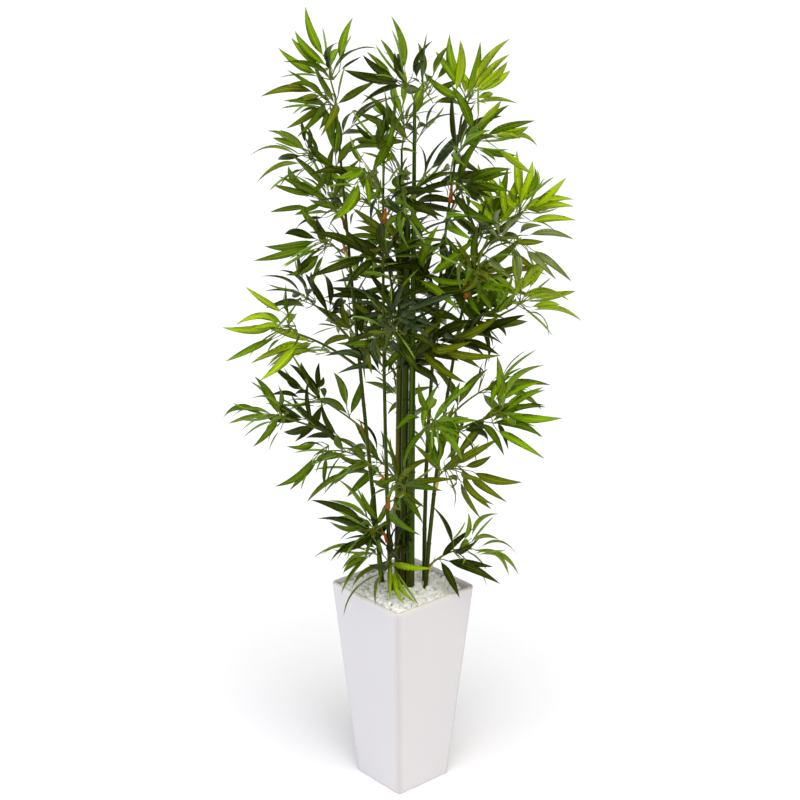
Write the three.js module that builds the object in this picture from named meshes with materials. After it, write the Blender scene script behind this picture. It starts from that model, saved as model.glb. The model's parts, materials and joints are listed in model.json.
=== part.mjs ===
// Artificial potted bamboo: silk leaf sprays on moulded canes in a white glazed tower planter.
// Millimetres, +Z up. The origin is the centre of the planter's flat underside, and the
// planter's four sides face along X and Y.
import * as THREE from 'three';
import { ConvexHull } from 'three/addons/math/ConvexHull.js';

// ---- driving dimensions ------------------------------------------------------------------

const GAP = 0.35; // left between neighbouring pieces

const PLANTER = {
  height: 400,
  topSide: 196, // outside, across the flats
  footSide: 127,
  topCorner: 14, // radius of the upright edges
  footCorner: 9,
  wall: 9,
  floor: 12,
  rimRound: 4, // rounding of the lip
  footRound: 3,
  cornerSteps: 4,
};
const BED_TOP = 386; // level of the pebbles, below the lip
const LEAF_FLOOR = PLANTER.height + 4; // no foliage hangs lower than this

// Canes: where each stands in the bed, its tip, the sideways bow of its middle, and the
// radius at foot and tip. Bearings are degrees anticlockwise from +X, seen from above.
const CANES = [
  { name: 'cane_thick_left', foot: [-18.7, 4.4], tip: [-4.2, 1.4, 1048], bow: [-1, 0], radius: [6.7, 5.7] },
  { name: 'cane_thick_middle', foot: [-2, 3.8], tip: [9.6, 1.9, 1105], bow: [-0.4, 0], radius: [6.9, 5.6] },
  { name: 'cane_thick_right', foot: [14.9, 5.6], tip: [9, 19, 1298], bow: [5, -3.8], radius: [7.7, 2.5] },
  { name: 'cane_left', foot: [-36, -18], tip: [-76, -87, 1312], bow: [3, -6], radius: [4.4, 2] },
  { name: 'cane_front', foot: [4, -32], tip: [26, -66, 1212], bow: [-6, -2], radius: [4.2, 2] },
  { name: 'cane_right', foot: [14, 42], tip: [66, 76, 1276], bow: [-8, -16], radius: [4.4, 2] },
  { name: 'cane_leaning', foot: [34, 26], tip: [92, 108, 1120], bow: [-12, -8], radius: [4.4, 2] },
  { name: 'cane_back', foot: [-34, 30], tip: [-72, 60, 1200], bow: [-4, 4], radius: [4.4, 2] },
];
const CANE = {
  joints: 7, // rings along a cane
  swell: 1.16, // how far a ring stands out
  ringHeight: 3,
  flare: 1.1, // widening at the foot
  sides: 8,
};

// Sprays: bearing, distance and height of the hub that the leaves fan out from, how far the
// longest leaf tip is from the hub, and how steeply the spray points up. A spray with a bough
// takes it from the cane named; the others sit on the nearest limb.
const SPRAYS = [
  { name: 'top_left', bearing: 230, out: 125, up: 1356, span: 122, pitch: 72 },
  { name: 'top_middle', bearing: 230, out: 5, up: 1340, span: 122, pitch: 85 },
  { name: 'top_middle_right', bearing: 80, out: 55, up: 1322, span: 105, pitch: 55 },
  { name: 'top_right', bearing: 50, out: 118, up: 1312, span: 128, pitch: 60 },
  { name: 'high_left', bearing: 248, out: 140, up: 1316, span: 125, pitch: 15 },
  { name: 'high_right', bearing: 32, out: 155, up: 1250, span: 100, pitch: 5 },
  { name: 'high_back', bearing: 140, out: 120, up: 1262, span: 110, pitch: 40 },
  { name: 'high_front', bearing: 300, out: 85, up: 1245, span: 105, pitch: 45 },
  { name: 'upper_left', bearing: 235, out: 170, up: 1214, span: 112, pitch: 12 },
  { name: 'upper_front_left', bearing: 292, out: 155, up: 1205, span: 112, pitch: -20 },
  { name: 'upper_front', bearing: 320, out: 140, up: 1165, span: 115, pitch: -28 },
  { name: 'upper_right', bearing: 15, out: 110, up: 1172, span: 100, pitch: 10 },
  { name: 'upper_back_right', bearing: 112, out: 175, up: 1150, span: 112, pitch: 15 },
  { name: 'upper_back_left', bearing: 172, out: 175, up: 1100, span: 112, pitch: 12 },
  { name: 'shoulder_left', bearing: 214, out: 152, up: 1122, span: 100, pitch: 28 },
  { name: 'shoulder_front_left', bearing: 245, out: 148, up: 1068, span: 128, pitch: 0 },
  { name: 'shoulder_right', bearing: 49, out: 208, up: 1108, span: 120, pitch: 45, cane: 'cane_leaning' },
  { name: 'shoulder_front_right', bearing: 30, out: 215, up: 1070, span: 108, pitch: -25 },
  { name: 'shoulder_back_right', bearing: 70, out: 152, up: 1066, span: 92, pitch: 28 },
  { name: 'waist_front_right', bearing: 10, out: 162, up: 1026, span: 98, pitch: 8 },
  { name: 'waist_back', bearing: 140, out: 200, up: 990, span: 120, pitch: 15 },
  { name: 'waist_front', bearing: 314, out: 175, up: 955, span: 125, pitch: -10, cane: 'cane_front' },
  { name: 'waist_right', bearing: 41, out: 216, up: 955, span: 118, pitch: 28, cane: 'cane_leaning' },
  { name: 'waist_left', bearing: 208, out: 185, up: 935, span: 108, pitch: 30, cane: 'cane_left' },
  { name: 'waist_front_left', bearing: 243, out: 212, up: 914, span: 130, pitch: 15, cane: 'cane_left' },
  { name: 'middle_right', bearing: 72, out: 140, up: 905, span: 95, pitch: -30 },
  { name: 'middle_back_right', bearing: 108, out: 200, up: 898, span: 115, pitch: 5, cane: 'cane_back' },
  { name: 'middle_back_left', bearing: 168, out: 205, up: 862, span: 115, pitch: 15, cane: 'cane_back' },
  { name: 'low_front', bearing: 337, out: 180, up: 785, span: 125, pitch: 15, cane: 'cane_thick_right' },
  { name: 'low_right', bearing: 62, out: 178, up: 778, span: 95, pitch: 55 },
  { name: 'low_front_right', bearing: 30, out: 185, up: 760, span: 130, pitch: 12, cane: 'cane_leaning' },
  { name: 'low_left', bearing: 219, out: 175, up: 764, span: 95, pitch: 45 },
  { name: 'low_front_left', bearing: 239, out: 223, up: 748, span: 100, pitch: 5, cane: 'cane_left' },
  { name: 'low_back', bearing: 138, out: 190, up: 724, span: 122, pitch: 5 },
  { name: 'skirt_left', bearing: 262, out: 170, up: 698, span: 100, pitch: -15 },
  { name: 'skirt_right', bearing: 8, out: 140, up: 664, span: 118, pitch: -5 },
  { name: 'skirt_front', bearing: 320, out: 160, up: 654, span: 108, pitch: 10 },
  { name: 'skirt_back', bearing: 165, out: 140, up: 606, span: 112, pitch: 0 },
  { name: 'foot_left', bearing: 274, out: 84, up: 532, span: 96, pitch: 20 },
  { name: 'foot_right', bearing: 32, out: 130, up: 486, span: 112, pitch: 15 },
];
const SPRAY = {
  points: 64, // corners of each spray's surface
  cone: 102, // degrees from the spray's axis out to which leaves point
  apart: 38, // least angle between two leaf tips
  hollow: 0.36, // depth of the dips between tips, as a share of the span
  back: 16, // size of the closed side behind the hub
  droop: 0.24, // share of the span by which a level tip hangs
  narrowing: 0.4, // how much shorter the leaves are at the edge of the cone
};
const BOUGH = {
  radius: [2.8, 1.7],
  rise: 0.62, // climb for each millimetre outwards
  arch: 0.1, // share of its length by which it arches up
  entry: 22, // distance from the hub at which it ends
  steps: 6,
  sides: 6,
};

const GREEN = { cane: 0x2f5415, dark: 0x2c4a18, fresh: 0x5d8a1c };

// ---- shared shape makers -----------------------------------------------------------------

const radians = THREE.MathUtils.degToRad;
const lerp = THREE.MathUtils.lerp;

// A closed skin over rings of the same number of points, with flat ends.
function skin(rings) {
  const points = [];
  const count = rings[0].length;
  for (let i = 1; i < rings.length; i += 1) {
    for (let j = 0; j < count; j += 1) {
      const k = (j + 1) % count;
      const [a, b, c, d] = [rings[i - 1][j], rings[i - 1][k], rings[i][k], rings[i][j]];
      points.push(a, b, c, a, c, d);
    }
  }
  const [first, last] = [rings[0], rings[rings.length - 1]];
  for (let j = 1; j < count - 1; j += 1) {
    points.push(first[0], first[j + 1], first[j], last[0], last[j], last[j + 1]);
  }
  return new THREE.BufferGeometry().setFromPoints(points);
}

// A round limb along a curve. Each station is [share of the length, radius]. A limb that
// stands on something is cut level at its foot.
function limb(curve, stations, sides, levelFoot = false) {
  const fine = 100;
  const frames = curve.computeFrenetFrames(fine, false);
  const rings = stations.map(([share, radius]) => {
    const at = Math.round(share * fine);
    const centre = curve.getPointAt(share);
    return Array.from({ length: sides }, (_, j) => {
      const turn = (2 * Math.PI * j) / sides;
      return centre.clone()
        .addScaledVector(frames.normals[at], radius * Math.cos(turn))
        .addScaledVector(frames.binormals[at], radius * Math.sin(turn));
    });
  });
  if (levelFoot) rings[0].forEach((point) => point.setZ(curve.getPointAt(0).z));
  return skin(rings);
}

// One level ring of a square with rounded corners.
function squareRing(side, corner, height) {
  const ring = [];
  const reach = side / 2 - corner;
  for (let quarter = 0; quarter < 4; quarter += 1) {
    for (let step = 0; step <= PLANTER.cornerSteps; step += 1) {
      const turn = ((quarter + step / PLANTER.cornerSteps) * Math.PI) / 2;
      const middle = ((quarter + 0.5) * Math.PI) / 2;
      const x = reach * Math.SQRT2 * Math.cos(middle) + corner * Math.cos(turn);
      const y = reach * Math.SQRT2 * Math.sin(middle) + corner * Math.sin(turn);
      ring.push(new THREE.Vector3(x, y, height));
    }
  }
  return ring;
}

// A level ring of the planter's outside, drawn in by an inset.
function planterRing(height, inset) {
  const share = height / PLANTER.height;
  const side = lerp(PLANTER.footSide, PLANTER.topSide, share) - 2 * inset;
  const corner = lerp(PLANTER.footCorner, PLANTER.topCorner, share) - inset;
  return squareRing(side, Math.max(corner, 2), height);
}

// Repeatable random numbers from 0 to 1.
function dice(seed) {
  let state = seed * 7919 + 17;
  return () => {
    state = (state * 16807) % 2147483647;
    return state / 2147483647;
  };
}

function part(name, geometry, colour, roughness) {
  const finish = new THREE.MeshStandardMaterial({ color: colour, roughness, metalness: 0 });
  const mesh = new THREE.Mesh(geometry, finish);
  mesh.name = name;
  return mesh;
}

function polar(bearing, out, up) {
  return new THREE.Vector3(out * Math.cos(radians(bearing)), out * Math.sin(radians(bearing)), up);
}

// ---- planter and pebbles -----------------------------------------------------------------

function planter() {
  const { height, wall, floor, rimRound, footRound } = PLANTER;
  return skin([
    planterRing(0, footRound),
    planterRing(footRound, 0),
    planterRing(height - rimRound, 0),
    planterRing(height - 1, rimRound * 0.4),
    planterRing(height, rimRound),
    planterRing(height - 1, wall - rimRound * 0.4),
    planterRing(height - rimRound, wall),
    planterRing(floor, wall),
  ]);
}

function pebbleBed() {
  const inset = PLANTER.wall + GAP;
  return skin([planterRing(PLANTER.floor + GAP, inset), planterRing(BED_TOP, inset)]);
}

// ---- canes -------------------------------------------------------------------------------

function caneCurve({ foot, tip, bow }) {
  const start = new THREE.Vector3(foot[0], foot[1], BED_TOP + GAP);
  const end = new THREE.Vector3(...tip);
  const middle = start.clone().lerp(end, 0.5).add(new THREE.Vector3(2 * bow[0], 2 * bow[1], 0));
  return new THREE.QuadraticBezierCurve3(start, middle, end);
}

// Stations of a cane: a short flare at the foot, and a raised ring at each joint.
function caneStations(length, [thick, thin]) {
  const radiusAt = (share) => lerp(thick, thin, share);
  const half = CANE.ringHeight / length;
  const stations = [[0, thick * CANE.flare], [3 * half, radiusAt(3 * half)]];
  for (let i = 1; i <= CANE.joints; i += 1) {
    const share = i / (CANE.joints + 0.6);
    stations.push([share - half, radiusAt(share)]);
    stations.push([share, radiusAt(share) * CANE.swell]);
    stations.push([share + half, radiusAt(share) * 0.98]);
  }
  stations.push([1, thin]);
  return stations;
}

function cane(size) {
  const curve = caneCurve(size);
  return limb(curve, caneStations(curve.getLength(), size.radius), CANE.sides, true);
}

// ---- boughs ------------------------------------------------------------------------------

function hub({ bearing, out, up }) {
  return polar(bearing, out, up);
}

// A bough leaves its cane below the spray, arches up and ends just short of the hub.
function boughCurve(spray) {
  const size = CANES.find((entry) => entry.name === spray.cane);
  const curve = caneCurve(size);
  const end = hub(spray);
  const axis = end.clone().setZ(0).sub(curve.getPoint(0.5).setZ(0));
  const level = end.z - BOUGH.rise * axis.length();
  const share = (level - BED_TOP) / (size.tip[2] - BED_TOP);
  const root = curve.getPoint(share);
  const way = end.clone().sub(root).normalize();
  const along = curve.getTangent(share);
  const side = way.clone().addScaledVector(along, -way.dot(along)).normalize();
  const clear = lerp(...size.radius, share) * CANE.swell + BOUGH.radius[0] + GAP;
  const start = root.clone().addScaledVector(side, clear);
  const stop = end.clone().addScaledVector(way, -BOUGH.entry);
  const lift = BOUGH.arch * start.distanceTo(stop);
  const middle = start.clone().lerp(stop, 0.45).add(new THREE.Vector3(0, 0, lift));
  return new THREE.QuadraticBezierCurve3(start, middle, stop);
}

function bough(spray) {
  const shares = Array.from({ length: BOUGH.steps + 1 }, (_, i) => i / BOUGH.steps);
  const stations = shares.map((share) => [share, lerp(...BOUGH.radius, share)]);
  return limb(boughCurve(spray), stations, BOUGH.sides);
}

// ---- sprays of leaves --------------------------------------------------------------------

// Every limb as a row of straight rods, each with its radius, to keep the foliage off them.
function rods() {
  const list = [];
  const add = (curve, radius, count) => {
    const points = curve.getPoints(count);
    points.slice(1).forEach((point, i) => list.push({ rod: new THREE.Line3(points[i], point), radius }));
  };
  CANES.forEach((size) => add(caneCurve(size), size.radius[0] * CANE.flare, 12));
  SPRAYS.filter((spray) => spray.cane).forEach((spray) => add(boughCurve(spray), BOUGH.radius[0], 5));
  return list;
}

// The room round a hub, as flat limits: halfway to each other hub, and clear of every limb.
function room(spray, limbs) {
  const centre = hub(spray);
  const limits = [{ way: new THREE.Vector3(0, 0, -1), far: centre.z - LEAF_FLOOR }];
  const limit = (target, share, spare) => {
    const way = target.clone().sub(centre);
    const far = way.length() * share - spare;
    limits.push({ way: way.normalize(), far });
  };
  SPRAYS.filter((other) => other !== spray)
    .forEach((other) => limit(hub(other), spray.span / (spray.span + other.span), GAP));
  limbs.forEach(({ rod, radius }) => {
    limit(rod.closestPointToPoint(centre, true, new THREE.Vector3()), 1, radius + GAP);
  });
  return limits;
}

// Directions spread evenly over a ball, the first along +Z.
function directions(count) {
  const golden = Math.PI * (3 - Math.sqrt(5));
  return Array.from({ length: count }, (_, i) => {
    const z = 1 - (2 * i) / (count - 1);
    const level = Math.sqrt(Math.max(0, 1 - z * z));
    return new THREE.Vector3(level * Math.cos(golden * i), level * Math.sin(golden * i), z);
  });
}

// Distance from the hub to the surface in one direction: long at a leaf tip, short between.
function reachOf(isTip, fromAxis, span, roll) {
  if (fromAxis > SPRAY.cone) return SPRAY.back;
  const side = 1 - SPRAY.narrowing * (fromAxis / SPRAY.cone) ** 2;
  if (isTip) return span * side * (0.84 + 0.16 * roll);
  return span * side * SPRAY.hollow * (0.8 + 0.4 * roll);
}

// A closed, uneven solid with a pointed lobe for each outer leaf, kept inside its room.
function sprayOfLeaves(spray, limbs, seed) {
  const centre = hub(spray);
  const roll = dice(seed);
  const limits = room(spray, limbs);
  const aim = polar(spray.bearing, Math.cos(radians(spray.pitch)), Math.sin(radians(spray.pitch)));
  const tilt = new THREE.Quaternion().setFromUnitVectors(new THREE.Vector3(0, 0, 1), aim);
  const twist = new THREE.Quaternion().setFromAxisAngle(aim, 2 * Math.PI * roll());
  const ways = directions(SPRAY.points).map((way) => way.applyQuaternion(tilt).applyQuaternion(twist));
  const corners = new Map();
  const tips = [];
  ways.forEach((way) => {
    const fromAxis = THREE.MathUtils.radToDeg(way.angleTo(aim));
    const isTip = tips.every((tip) => way.angleTo(tip) > radians(SPRAY.apart));
    if (isTip) tips.push(way);
    let reach = reachOf(isTip, fromAxis, spray.span, roll());
    const corner = new THREE.Vector3();
    const outside = ({ way: across, far }) => across.dot(corner) > far;
    for (let tries = 0; tries < 60; tries += 1) {
      corner.copy(way).multiplyScalar(reach);
      corner.z -= (SPRAY.droop * (corner.x ** 2 + corner.y ** 2)) / spray.span;
      if (!limits.some(outside)) break;
      reach *= 0.94;
    }
    corners.set(way, corner.add(centre));
  });
  const points = [];
  new ConvexHull().setFromPoints(ways).faces.forEach((face) => {
    const edges = [face.edge, face.edge.next, face.edge.next.next];
    points.push(...edges.map((edge) => corners.get(edge.head().point)));
  });
  return new THREE.BufferGeometry().setFromPoints(points);
}

// ---- the whole plant ---------------------------------------------------------------------

function plant() {
  const group = new THREE.Group();
  group.add(part('planter', planter(), 0xe6e4e6, 0.12));
  group.add(part('pebble_bed', pebbleBed(), 0xefede6, 0.6));
  CANES.forEach((size) => group.add(part(size.name, cane(size), GREEN.cane, 0.35)));
  SPRAYS.filter((spray) => spray.cane)
    .forEach((spray) => group.add(part(`bough_${spray.name}`, bough(spray), GREEN.dark, 0.4)));
  const limbs = rods();
  SPRAYS.forEach((spray, i) => {
    group.add(part(`spray_${spray.name}`, sprayOfLeaves(spray, limbs, i + 1), GREEN.fresh, 0.4));
  });
  return group;
}

export default plant();
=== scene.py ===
"""Looks of an artificial bamboo in a white glazed tower planter, grown around its CAD frame.

Canes, boughs and the lobed solids of the sprays are read from the frame. Twigs run from the
limbs into each spray, and silk leaves fan out from them to the tips that the solids reach.
"""

from __future__ import annotations

import json
import logging
import math
import random
from dataclasses import dataclass, field
from enum import Enum
from typing import Any, ClassVar, Iterable, Sequence

import bmesh
import bpy
import numpy as np
from mathutils import Matrix, Vector, noise

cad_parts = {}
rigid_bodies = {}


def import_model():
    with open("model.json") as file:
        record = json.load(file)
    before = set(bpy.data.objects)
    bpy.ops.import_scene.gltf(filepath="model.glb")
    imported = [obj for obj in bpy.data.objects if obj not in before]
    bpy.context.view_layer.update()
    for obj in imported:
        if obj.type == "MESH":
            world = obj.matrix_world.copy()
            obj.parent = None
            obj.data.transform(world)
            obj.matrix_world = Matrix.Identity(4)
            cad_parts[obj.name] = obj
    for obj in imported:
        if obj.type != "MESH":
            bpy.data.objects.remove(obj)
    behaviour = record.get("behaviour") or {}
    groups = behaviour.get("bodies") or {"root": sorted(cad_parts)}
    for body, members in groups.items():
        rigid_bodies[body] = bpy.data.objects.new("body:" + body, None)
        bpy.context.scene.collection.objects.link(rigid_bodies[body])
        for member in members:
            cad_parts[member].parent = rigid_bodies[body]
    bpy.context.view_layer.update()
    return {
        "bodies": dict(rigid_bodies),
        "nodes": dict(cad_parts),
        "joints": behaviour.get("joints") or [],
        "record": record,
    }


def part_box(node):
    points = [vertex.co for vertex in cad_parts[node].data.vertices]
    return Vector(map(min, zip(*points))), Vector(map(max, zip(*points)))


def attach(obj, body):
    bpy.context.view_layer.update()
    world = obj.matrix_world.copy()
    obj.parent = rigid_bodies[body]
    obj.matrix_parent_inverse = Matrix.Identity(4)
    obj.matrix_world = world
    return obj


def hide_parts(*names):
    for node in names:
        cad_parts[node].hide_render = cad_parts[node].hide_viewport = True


LOG = logging.getLogger("bamboo")
BODY = "root"
UP = Vector((0.0, 0.0, 1.0))
MILLIMETRE = 0.001
# How the frame's solids are made: sides of its canes and boughs, and radius of a spray's back.
CANE_SIDES = 8
BOUGH_SIDES = 6
SPRAY_BACK = 0.016

Colour = tuple[float, float, float]


def tone(red: int, green: int, blue: int) -> Colour:
    """Turn a screen colour into the linear numbers that shaders use.

    Args:
        red: Red from 0 to 255.
        green: Green from 0 to 255.
        blue: Blue from 0 to 255.

    Returns:
        The linear colour.
    """
    parts = (value / 255.0 for value in (red, green, blue))
    return tuple(p / 12.92 if p <= 0.04045 else ((p + 0.055) / 1.055) ** 2.4 for p in parts)


def across(way: Vector, wanted: Vector) -> Vector:
    """Return the unit vector square to a direction that lies nearest to another one.

    Args:
        way: The direction to be square to, of any length.
        wanted: The direction to lie near.

    Returns:
        A unit vector.
    """
    along = way.normalized()
    side = wanted - along * wanted.dot(along)
    if side.length < 1e-5:
        side = along.orthogonal()
    return side.normalized()


def heading(turn: float, rise: float = 0.0) -> Vector:
    """Return the level unit vector at an angle from +X in radians, with a rise added."""
    return Vector((math.cos(turn), math.sin(turn), rise))


# ---------------------------------------------------------------------------------------
# Shader building


class NodeTree:
    """A node tree that is built in code."""

    def __init__(self, tree: bpy.types.NodeTree) -> None:
        """Wrap a tree."""
        self.tree = tree

    @staticmethod
    def _output(source: Any) -> bpy.types.NodeSocket:
        return source.socket if isinstance(source, Wire) else source

    def link(self, source: Any, socket: bpy.types.NodeSocket) -> None:
        """Link a wire or an output to an input socket."""
        self.tree.links.new(self._output(source), socket)

    def node(self, kind: str, settings: dict[str, Any], values: dict[Any, Any]) -> bpy.types.Node:
        """Add a node.

        Args:
            kind: The node's type.
            settings: Its settings, which are set first.
            values: For its input sockets, by name or number, a value, a wire or an output.

        Returns:
            The new node.
        """
        made = self.tree.nodes.new(kind)
        for key, value in settings.items():
            setattr(made, key, value)
        for key, value in values.items():
            if isinstance(value, (Wire, bpy.types.NodeSocket)):
                self.link(value, made.inputs[key])
            else:
                made.inputs[key].default_value = value
        return made

    def blend(self, share: Wire, first: Any, second: Any) -> bpy.types.NodeSocket:
        """Mix two colours by a share and return the output."""
        values = {0: share}
        for slot, colour in ((6, first), (7, second)):
            values[slot] = (*colour, 1.0) if isinstance(colour, tuple) else colour
        return self.node("ShaderNodeMix", {"data_type": "RGBA"}, values).outputs[2]


class Wire:
    """A number in a shader tree, on which Python's operators add Math nodes."""

    def __init__(self, paint: NodeTree, socket: bpy.types.NodeSocket) -> None:
        """Wrap one output socket of a tree."""
        self.paint = paint
        self.socket = socket

    def _math(self, operation: str, first: Any, second: Any = 0.0, clamp: bool = False) -> Wire:
        settings = {"operation": operation, "use_clamp": clamp}
        made = self.paint.node("ShaderNodeMath", settings, {0: first, 1: second})
        return Wire(self.paint, made.outputs[0])

    def __abs__(self) -> Wire:
        """Drop the sign."""
        return self._math("ABSOLUTE", self)

    def __add__(self, other: Any) -> Wire:
        """Add a number or another wire."""
        return self._math("ADD", self, other)

    __radd__ = __add__

    def __mul__(self, other: Any) -> Wire:
        """Multiply by a number or another wire."""
        return self._math("MULTIPLY", self, other)

    __rmul__ = __mul__

    def __sub__(self, other: Any) -> Wire:
        """Take a number or another wire away."""
        return self._math("SUBTRACT", self, other)

    def __rsub__(self, other: Any) -> Wire:
        """Take this wire away from a number."""
        return self._math("SUBTRACT", other, self)

    def wave(self) -> Wire:
        """Return the sine of this number."""
        return self._math("SINE", self)

    def held(self) -> Wire:
        """Return this number held between 0 and 1."""
        return self._math("ADD", self, 0.0, clamp=True)

    def between(self, low: float, high: float) -> Wire:
        """Return 0 below low, 1 above high and a straight ramp between them."""
        return ((self - low) * (1.0 / (high - low))).held()


class Paint(NodeTree):
    """A material with one Principled shader, and the nodes that feed it."""

    def __init__(self, name: str, colour: Colour, roughness: float) -> None:
        """Start a material from a plain colour and roughness.

        Args:
            name: The material's name.
            colour: Its linear base colour.
            roughness: Its roughness.
        """
        self.material = bpy.data.materials.new(name)
        self.material.use_nodes = True
        super().__init__(self.material.node_tree)
        self.shader = self.tree.nodes["Principled BSDF"]
        self.fix("Base Color", (*colour, 1.0))
        self.fix("Roughness", roughness)

    def fix(self, socket: str, value: Any) -> None:
        """Set one of the shader's own sockets to a value that is the same all over."""
        self.shader.inputs[socket].default_value = value

    def feed(self, socket: str, source: Any) -> None:
        """Link a wire or an output to one of the shader's sockets."""
        self.link(source, self.shader.inputs[socket])

    def place(self, scale: Sequence[float] = (1.0, 1.0, 1.0)) -> bpy.types.NodeSocket:
        """Return the object's own coordinates, stretched by a scale along each axis."""
        spot = self.node("ShaderNodeTexCoord", {}, {}).outputs["Object"]
        return self.node("ShaderNodeMapping", {}, {"Vector": spot, "Scale": scale}).outputs[0]

    def flat_map(self, axis: int) -> Wire:
        """Return one coordinate of the piece's own UV map."""
        spot = self.node("ShaderNodeTexCoord", {}, {}).outputs["UV"]
        return Wire(self, self.node("ShaderNodeSeparateXYZ", {}, {0: spot}).outputs[axis])

    def along(self, axis: int) -> Wire:
        """Return one of the object's own coordinates in metres, of which 2 is the height."""
        parts = self.node("ShaderNodeSeparateXYZ", {}, {0: self.place()})
        return Wire(self, parts.outputs[axis])

    def clouds(self, scale: Sequence[float], detail: float = 3.0) -> Wire:
        """Return soft noise from 0 to 1 with so many patches to the metre along each axis."""
        values = {"Vector": self.place(scale), "Scale": 1.0, "Detail": detail}
        return Wire(self, self.node("ShaderNodeTexNoise", {}, values).outputs[0])

    def relief(self, height: Wire, strength: float, depth: float) -> None:
        """Raise the surface by a height from 0 to 1, to a depth in metres."""
        values = {"Height": height, "Strength": strength, "Distance": depth}
        self.feed("Normal", self.node("ShaderNodeBump", {}, values).outputs[0])


@dataclass(frozen=True)
class Glaze:
    """White glossy glaze, warmer where it pools, with painted shade darkening its upright edges."""

    body: Colour = tone(214, 212, 215)
    pooled: Colour = tone(228, 222, 212)
    # Painted shade: the warm grey that the upright edges are darkened towards.
    wear_and_edge_shade: Colour = tone(188, 177, 174)
    roughness: float = 0.09
    coat: float = 0.35

    def material(self, rim: float) -> bpy.types.Material:
        """Make the glaze.

        Args:
            rim: Height of the lip, where the glaze breaks to a warmer white.

        Returns:
            The material.
        """
        paint = Paint("white_glaze", self.body, self.roughness)
        cloud = paint.clouds((5.0, 5.0, 3.0))
        edge = paint.along(2).between(rim - 0.010, rim - 0.001)
        share = (edge * 0.6 + cloud.between(0.45, 0.8) * 0.22).held()
        # Painted shade: a narrow band along each upright edge, where the rounded corner looks
        # darker, is blended towards the grey.
        upright = 1.0 - abs(abs(paint.along(0)) - abs(paint.along(1))).between(0.0, 0.014)
        glazed = paint.blend(share, self.body, self.pooled)
        paint.feed("Base Color", paint.blend(upright * 0.55, glazed, self.wear_and_edge_shade))
        paint.feed("Roughness", self.roughness + 0.07 * paint.clouds((22.0, 22.0, 22.0)))
        paint.fix("Coat Weight", self.coat)
        paint.fix("Coat Roughness", 0.04)
        swell = paint.clouds((9.0, 9.0, 6.0), 1.0) + 0.10 * paint.clouds((160.0, 160.0, 160.0), 1.0)
        paint.relief(swell, 0.5, 0.0012)
        return paint.material


@dataclass(frozen=True)
class Marble:
    """Tumbled white marble chips with creamy and greyish patches."""

    white: Colour = tone(248, 248, 245)
    cream: Colour = tone(222, 213, 190)
    grey: Colour = tone(198, 198, 196)

    def material(self) -> bpy.types.Material:
        """Make the stone."""
        paint = Paint("marble_chips", self.white, 0.55)
        cream = paint.clouds((55.0, 55.0, 55.0)).between(0.52, 0.72)
        grey = paint.clouds((38.0, 41.0, 45.0)).between(0.58, 0.8)
        warm = paint.blend(cream * 0.75, self.white, self.cream)
        paint.feed("Base Color", paint.blend(grey * 0.6, warm, self.grey))
        paint.relief(paint.clouds((420.0, 420.0, 420.0), 5.0), 0.35, 0.0008)
        return paint.material


@dataclass(frozen=True)
class CaneSkin:
    """Glossy moulded cane: lengthwise streaks, brown at the foot and in patches."""

    name: str
    dark: Colour
    light: Colour
    brown: Colour = tone(88, 60, 16)
    browning: float = 0.35
    sheen: Colour = (0.75, 0.95, 0.15)

    def material(self, ground: float) -> bpy.types.Material:
        """Make the skin.

        Args:
            ground: Height of the pebbles, above which the brown of the foot fades out.

        Returns:
            The material.
        """
        paint = Paint(self.name, self.dark, 0.3)
        streak = paint.clouds((420.0, 420.0, 6.0), 4.0)
        green = paint.blend(streak.between(0.42, 0.62), self.dark, self.light)
        foot = 1.0 - paint.along(2).between(ground, ground + 0.07)
        patch = paint.clouds((60.0, 60.0, 9.0)).between(0.52, 0.70)
        # Only wear here: the brown of the foot and of the patches is the cane's own colour.
        wear_and_edge_shade = (foot * 0.35 + patch * self.browning).held()
        paint.feed("Base Color", paint.blend(wear_and_edge_shade, green, self.brown))
        paint.feed("Roughness", 0.24 + 0.22 * paint.clouds((300.0, 300.0, 20.0)))
        paint.fix("Specular Tint", (*self.sheen, 1.0))
        paint.relief(streak, 0.5, 0.0006)
        return paint.material


@dataclass(frozen=True)
class PlainSkin:
    """A small moulded part in one colour, with a fine grain along it."""

    name: str
    colour: Colour
    roughness: float = 0.45
    shine: float = 0.3

    def material(self) -> bpy.types.Material:
        """Make the skin."""
        paint = Paint(self.name, self.colour, self.roughness)
        paint.fix("Specular IOR Level", self.shine)
        paint.fix("Specular Tint", (1.0, 0.9, 0.4, 1.0))
        paint.relief(paint.clouds((700.0, 700.0, 160.0), 3.0), 0.4, 0.0004)
        return paint.material


@dataclass(frozen=True)
class Silk:
    """Printed leaf cloth of one green, with raised parallel veins that follow the leaf."""

    name: str
    colour: Colour
    roughness: float = 0.29
    sheen: Colour = (0.85, 0.95, 0.1)
    shine: float = 0.32
    veins: float = 11.0

    def material(self) -> bpy.types.Material:
        """Make the cloth."""
        paint = Paint(self.name, self.colour, self.roughness)
        ridges = (paint.flat_map(0) * (2.0 * math.pi * self.veins)).wave() * 0.5 + 0.5
        paint.relief(ridges, 0.55, 0.0004)
        paint.fix("Specular IOR Level", self.shine)
        paint.fix("Specular Tint", (*self.sheen, 1.0))
        return paint.material


@dataclass(frozen=True)
class Greens:
    """The greens of one dye lot: the face of the leaf, its back, its midrib and its veins."""

    face: Colour
    back: Colour
    rib: Colour
    vein: Colour


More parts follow.
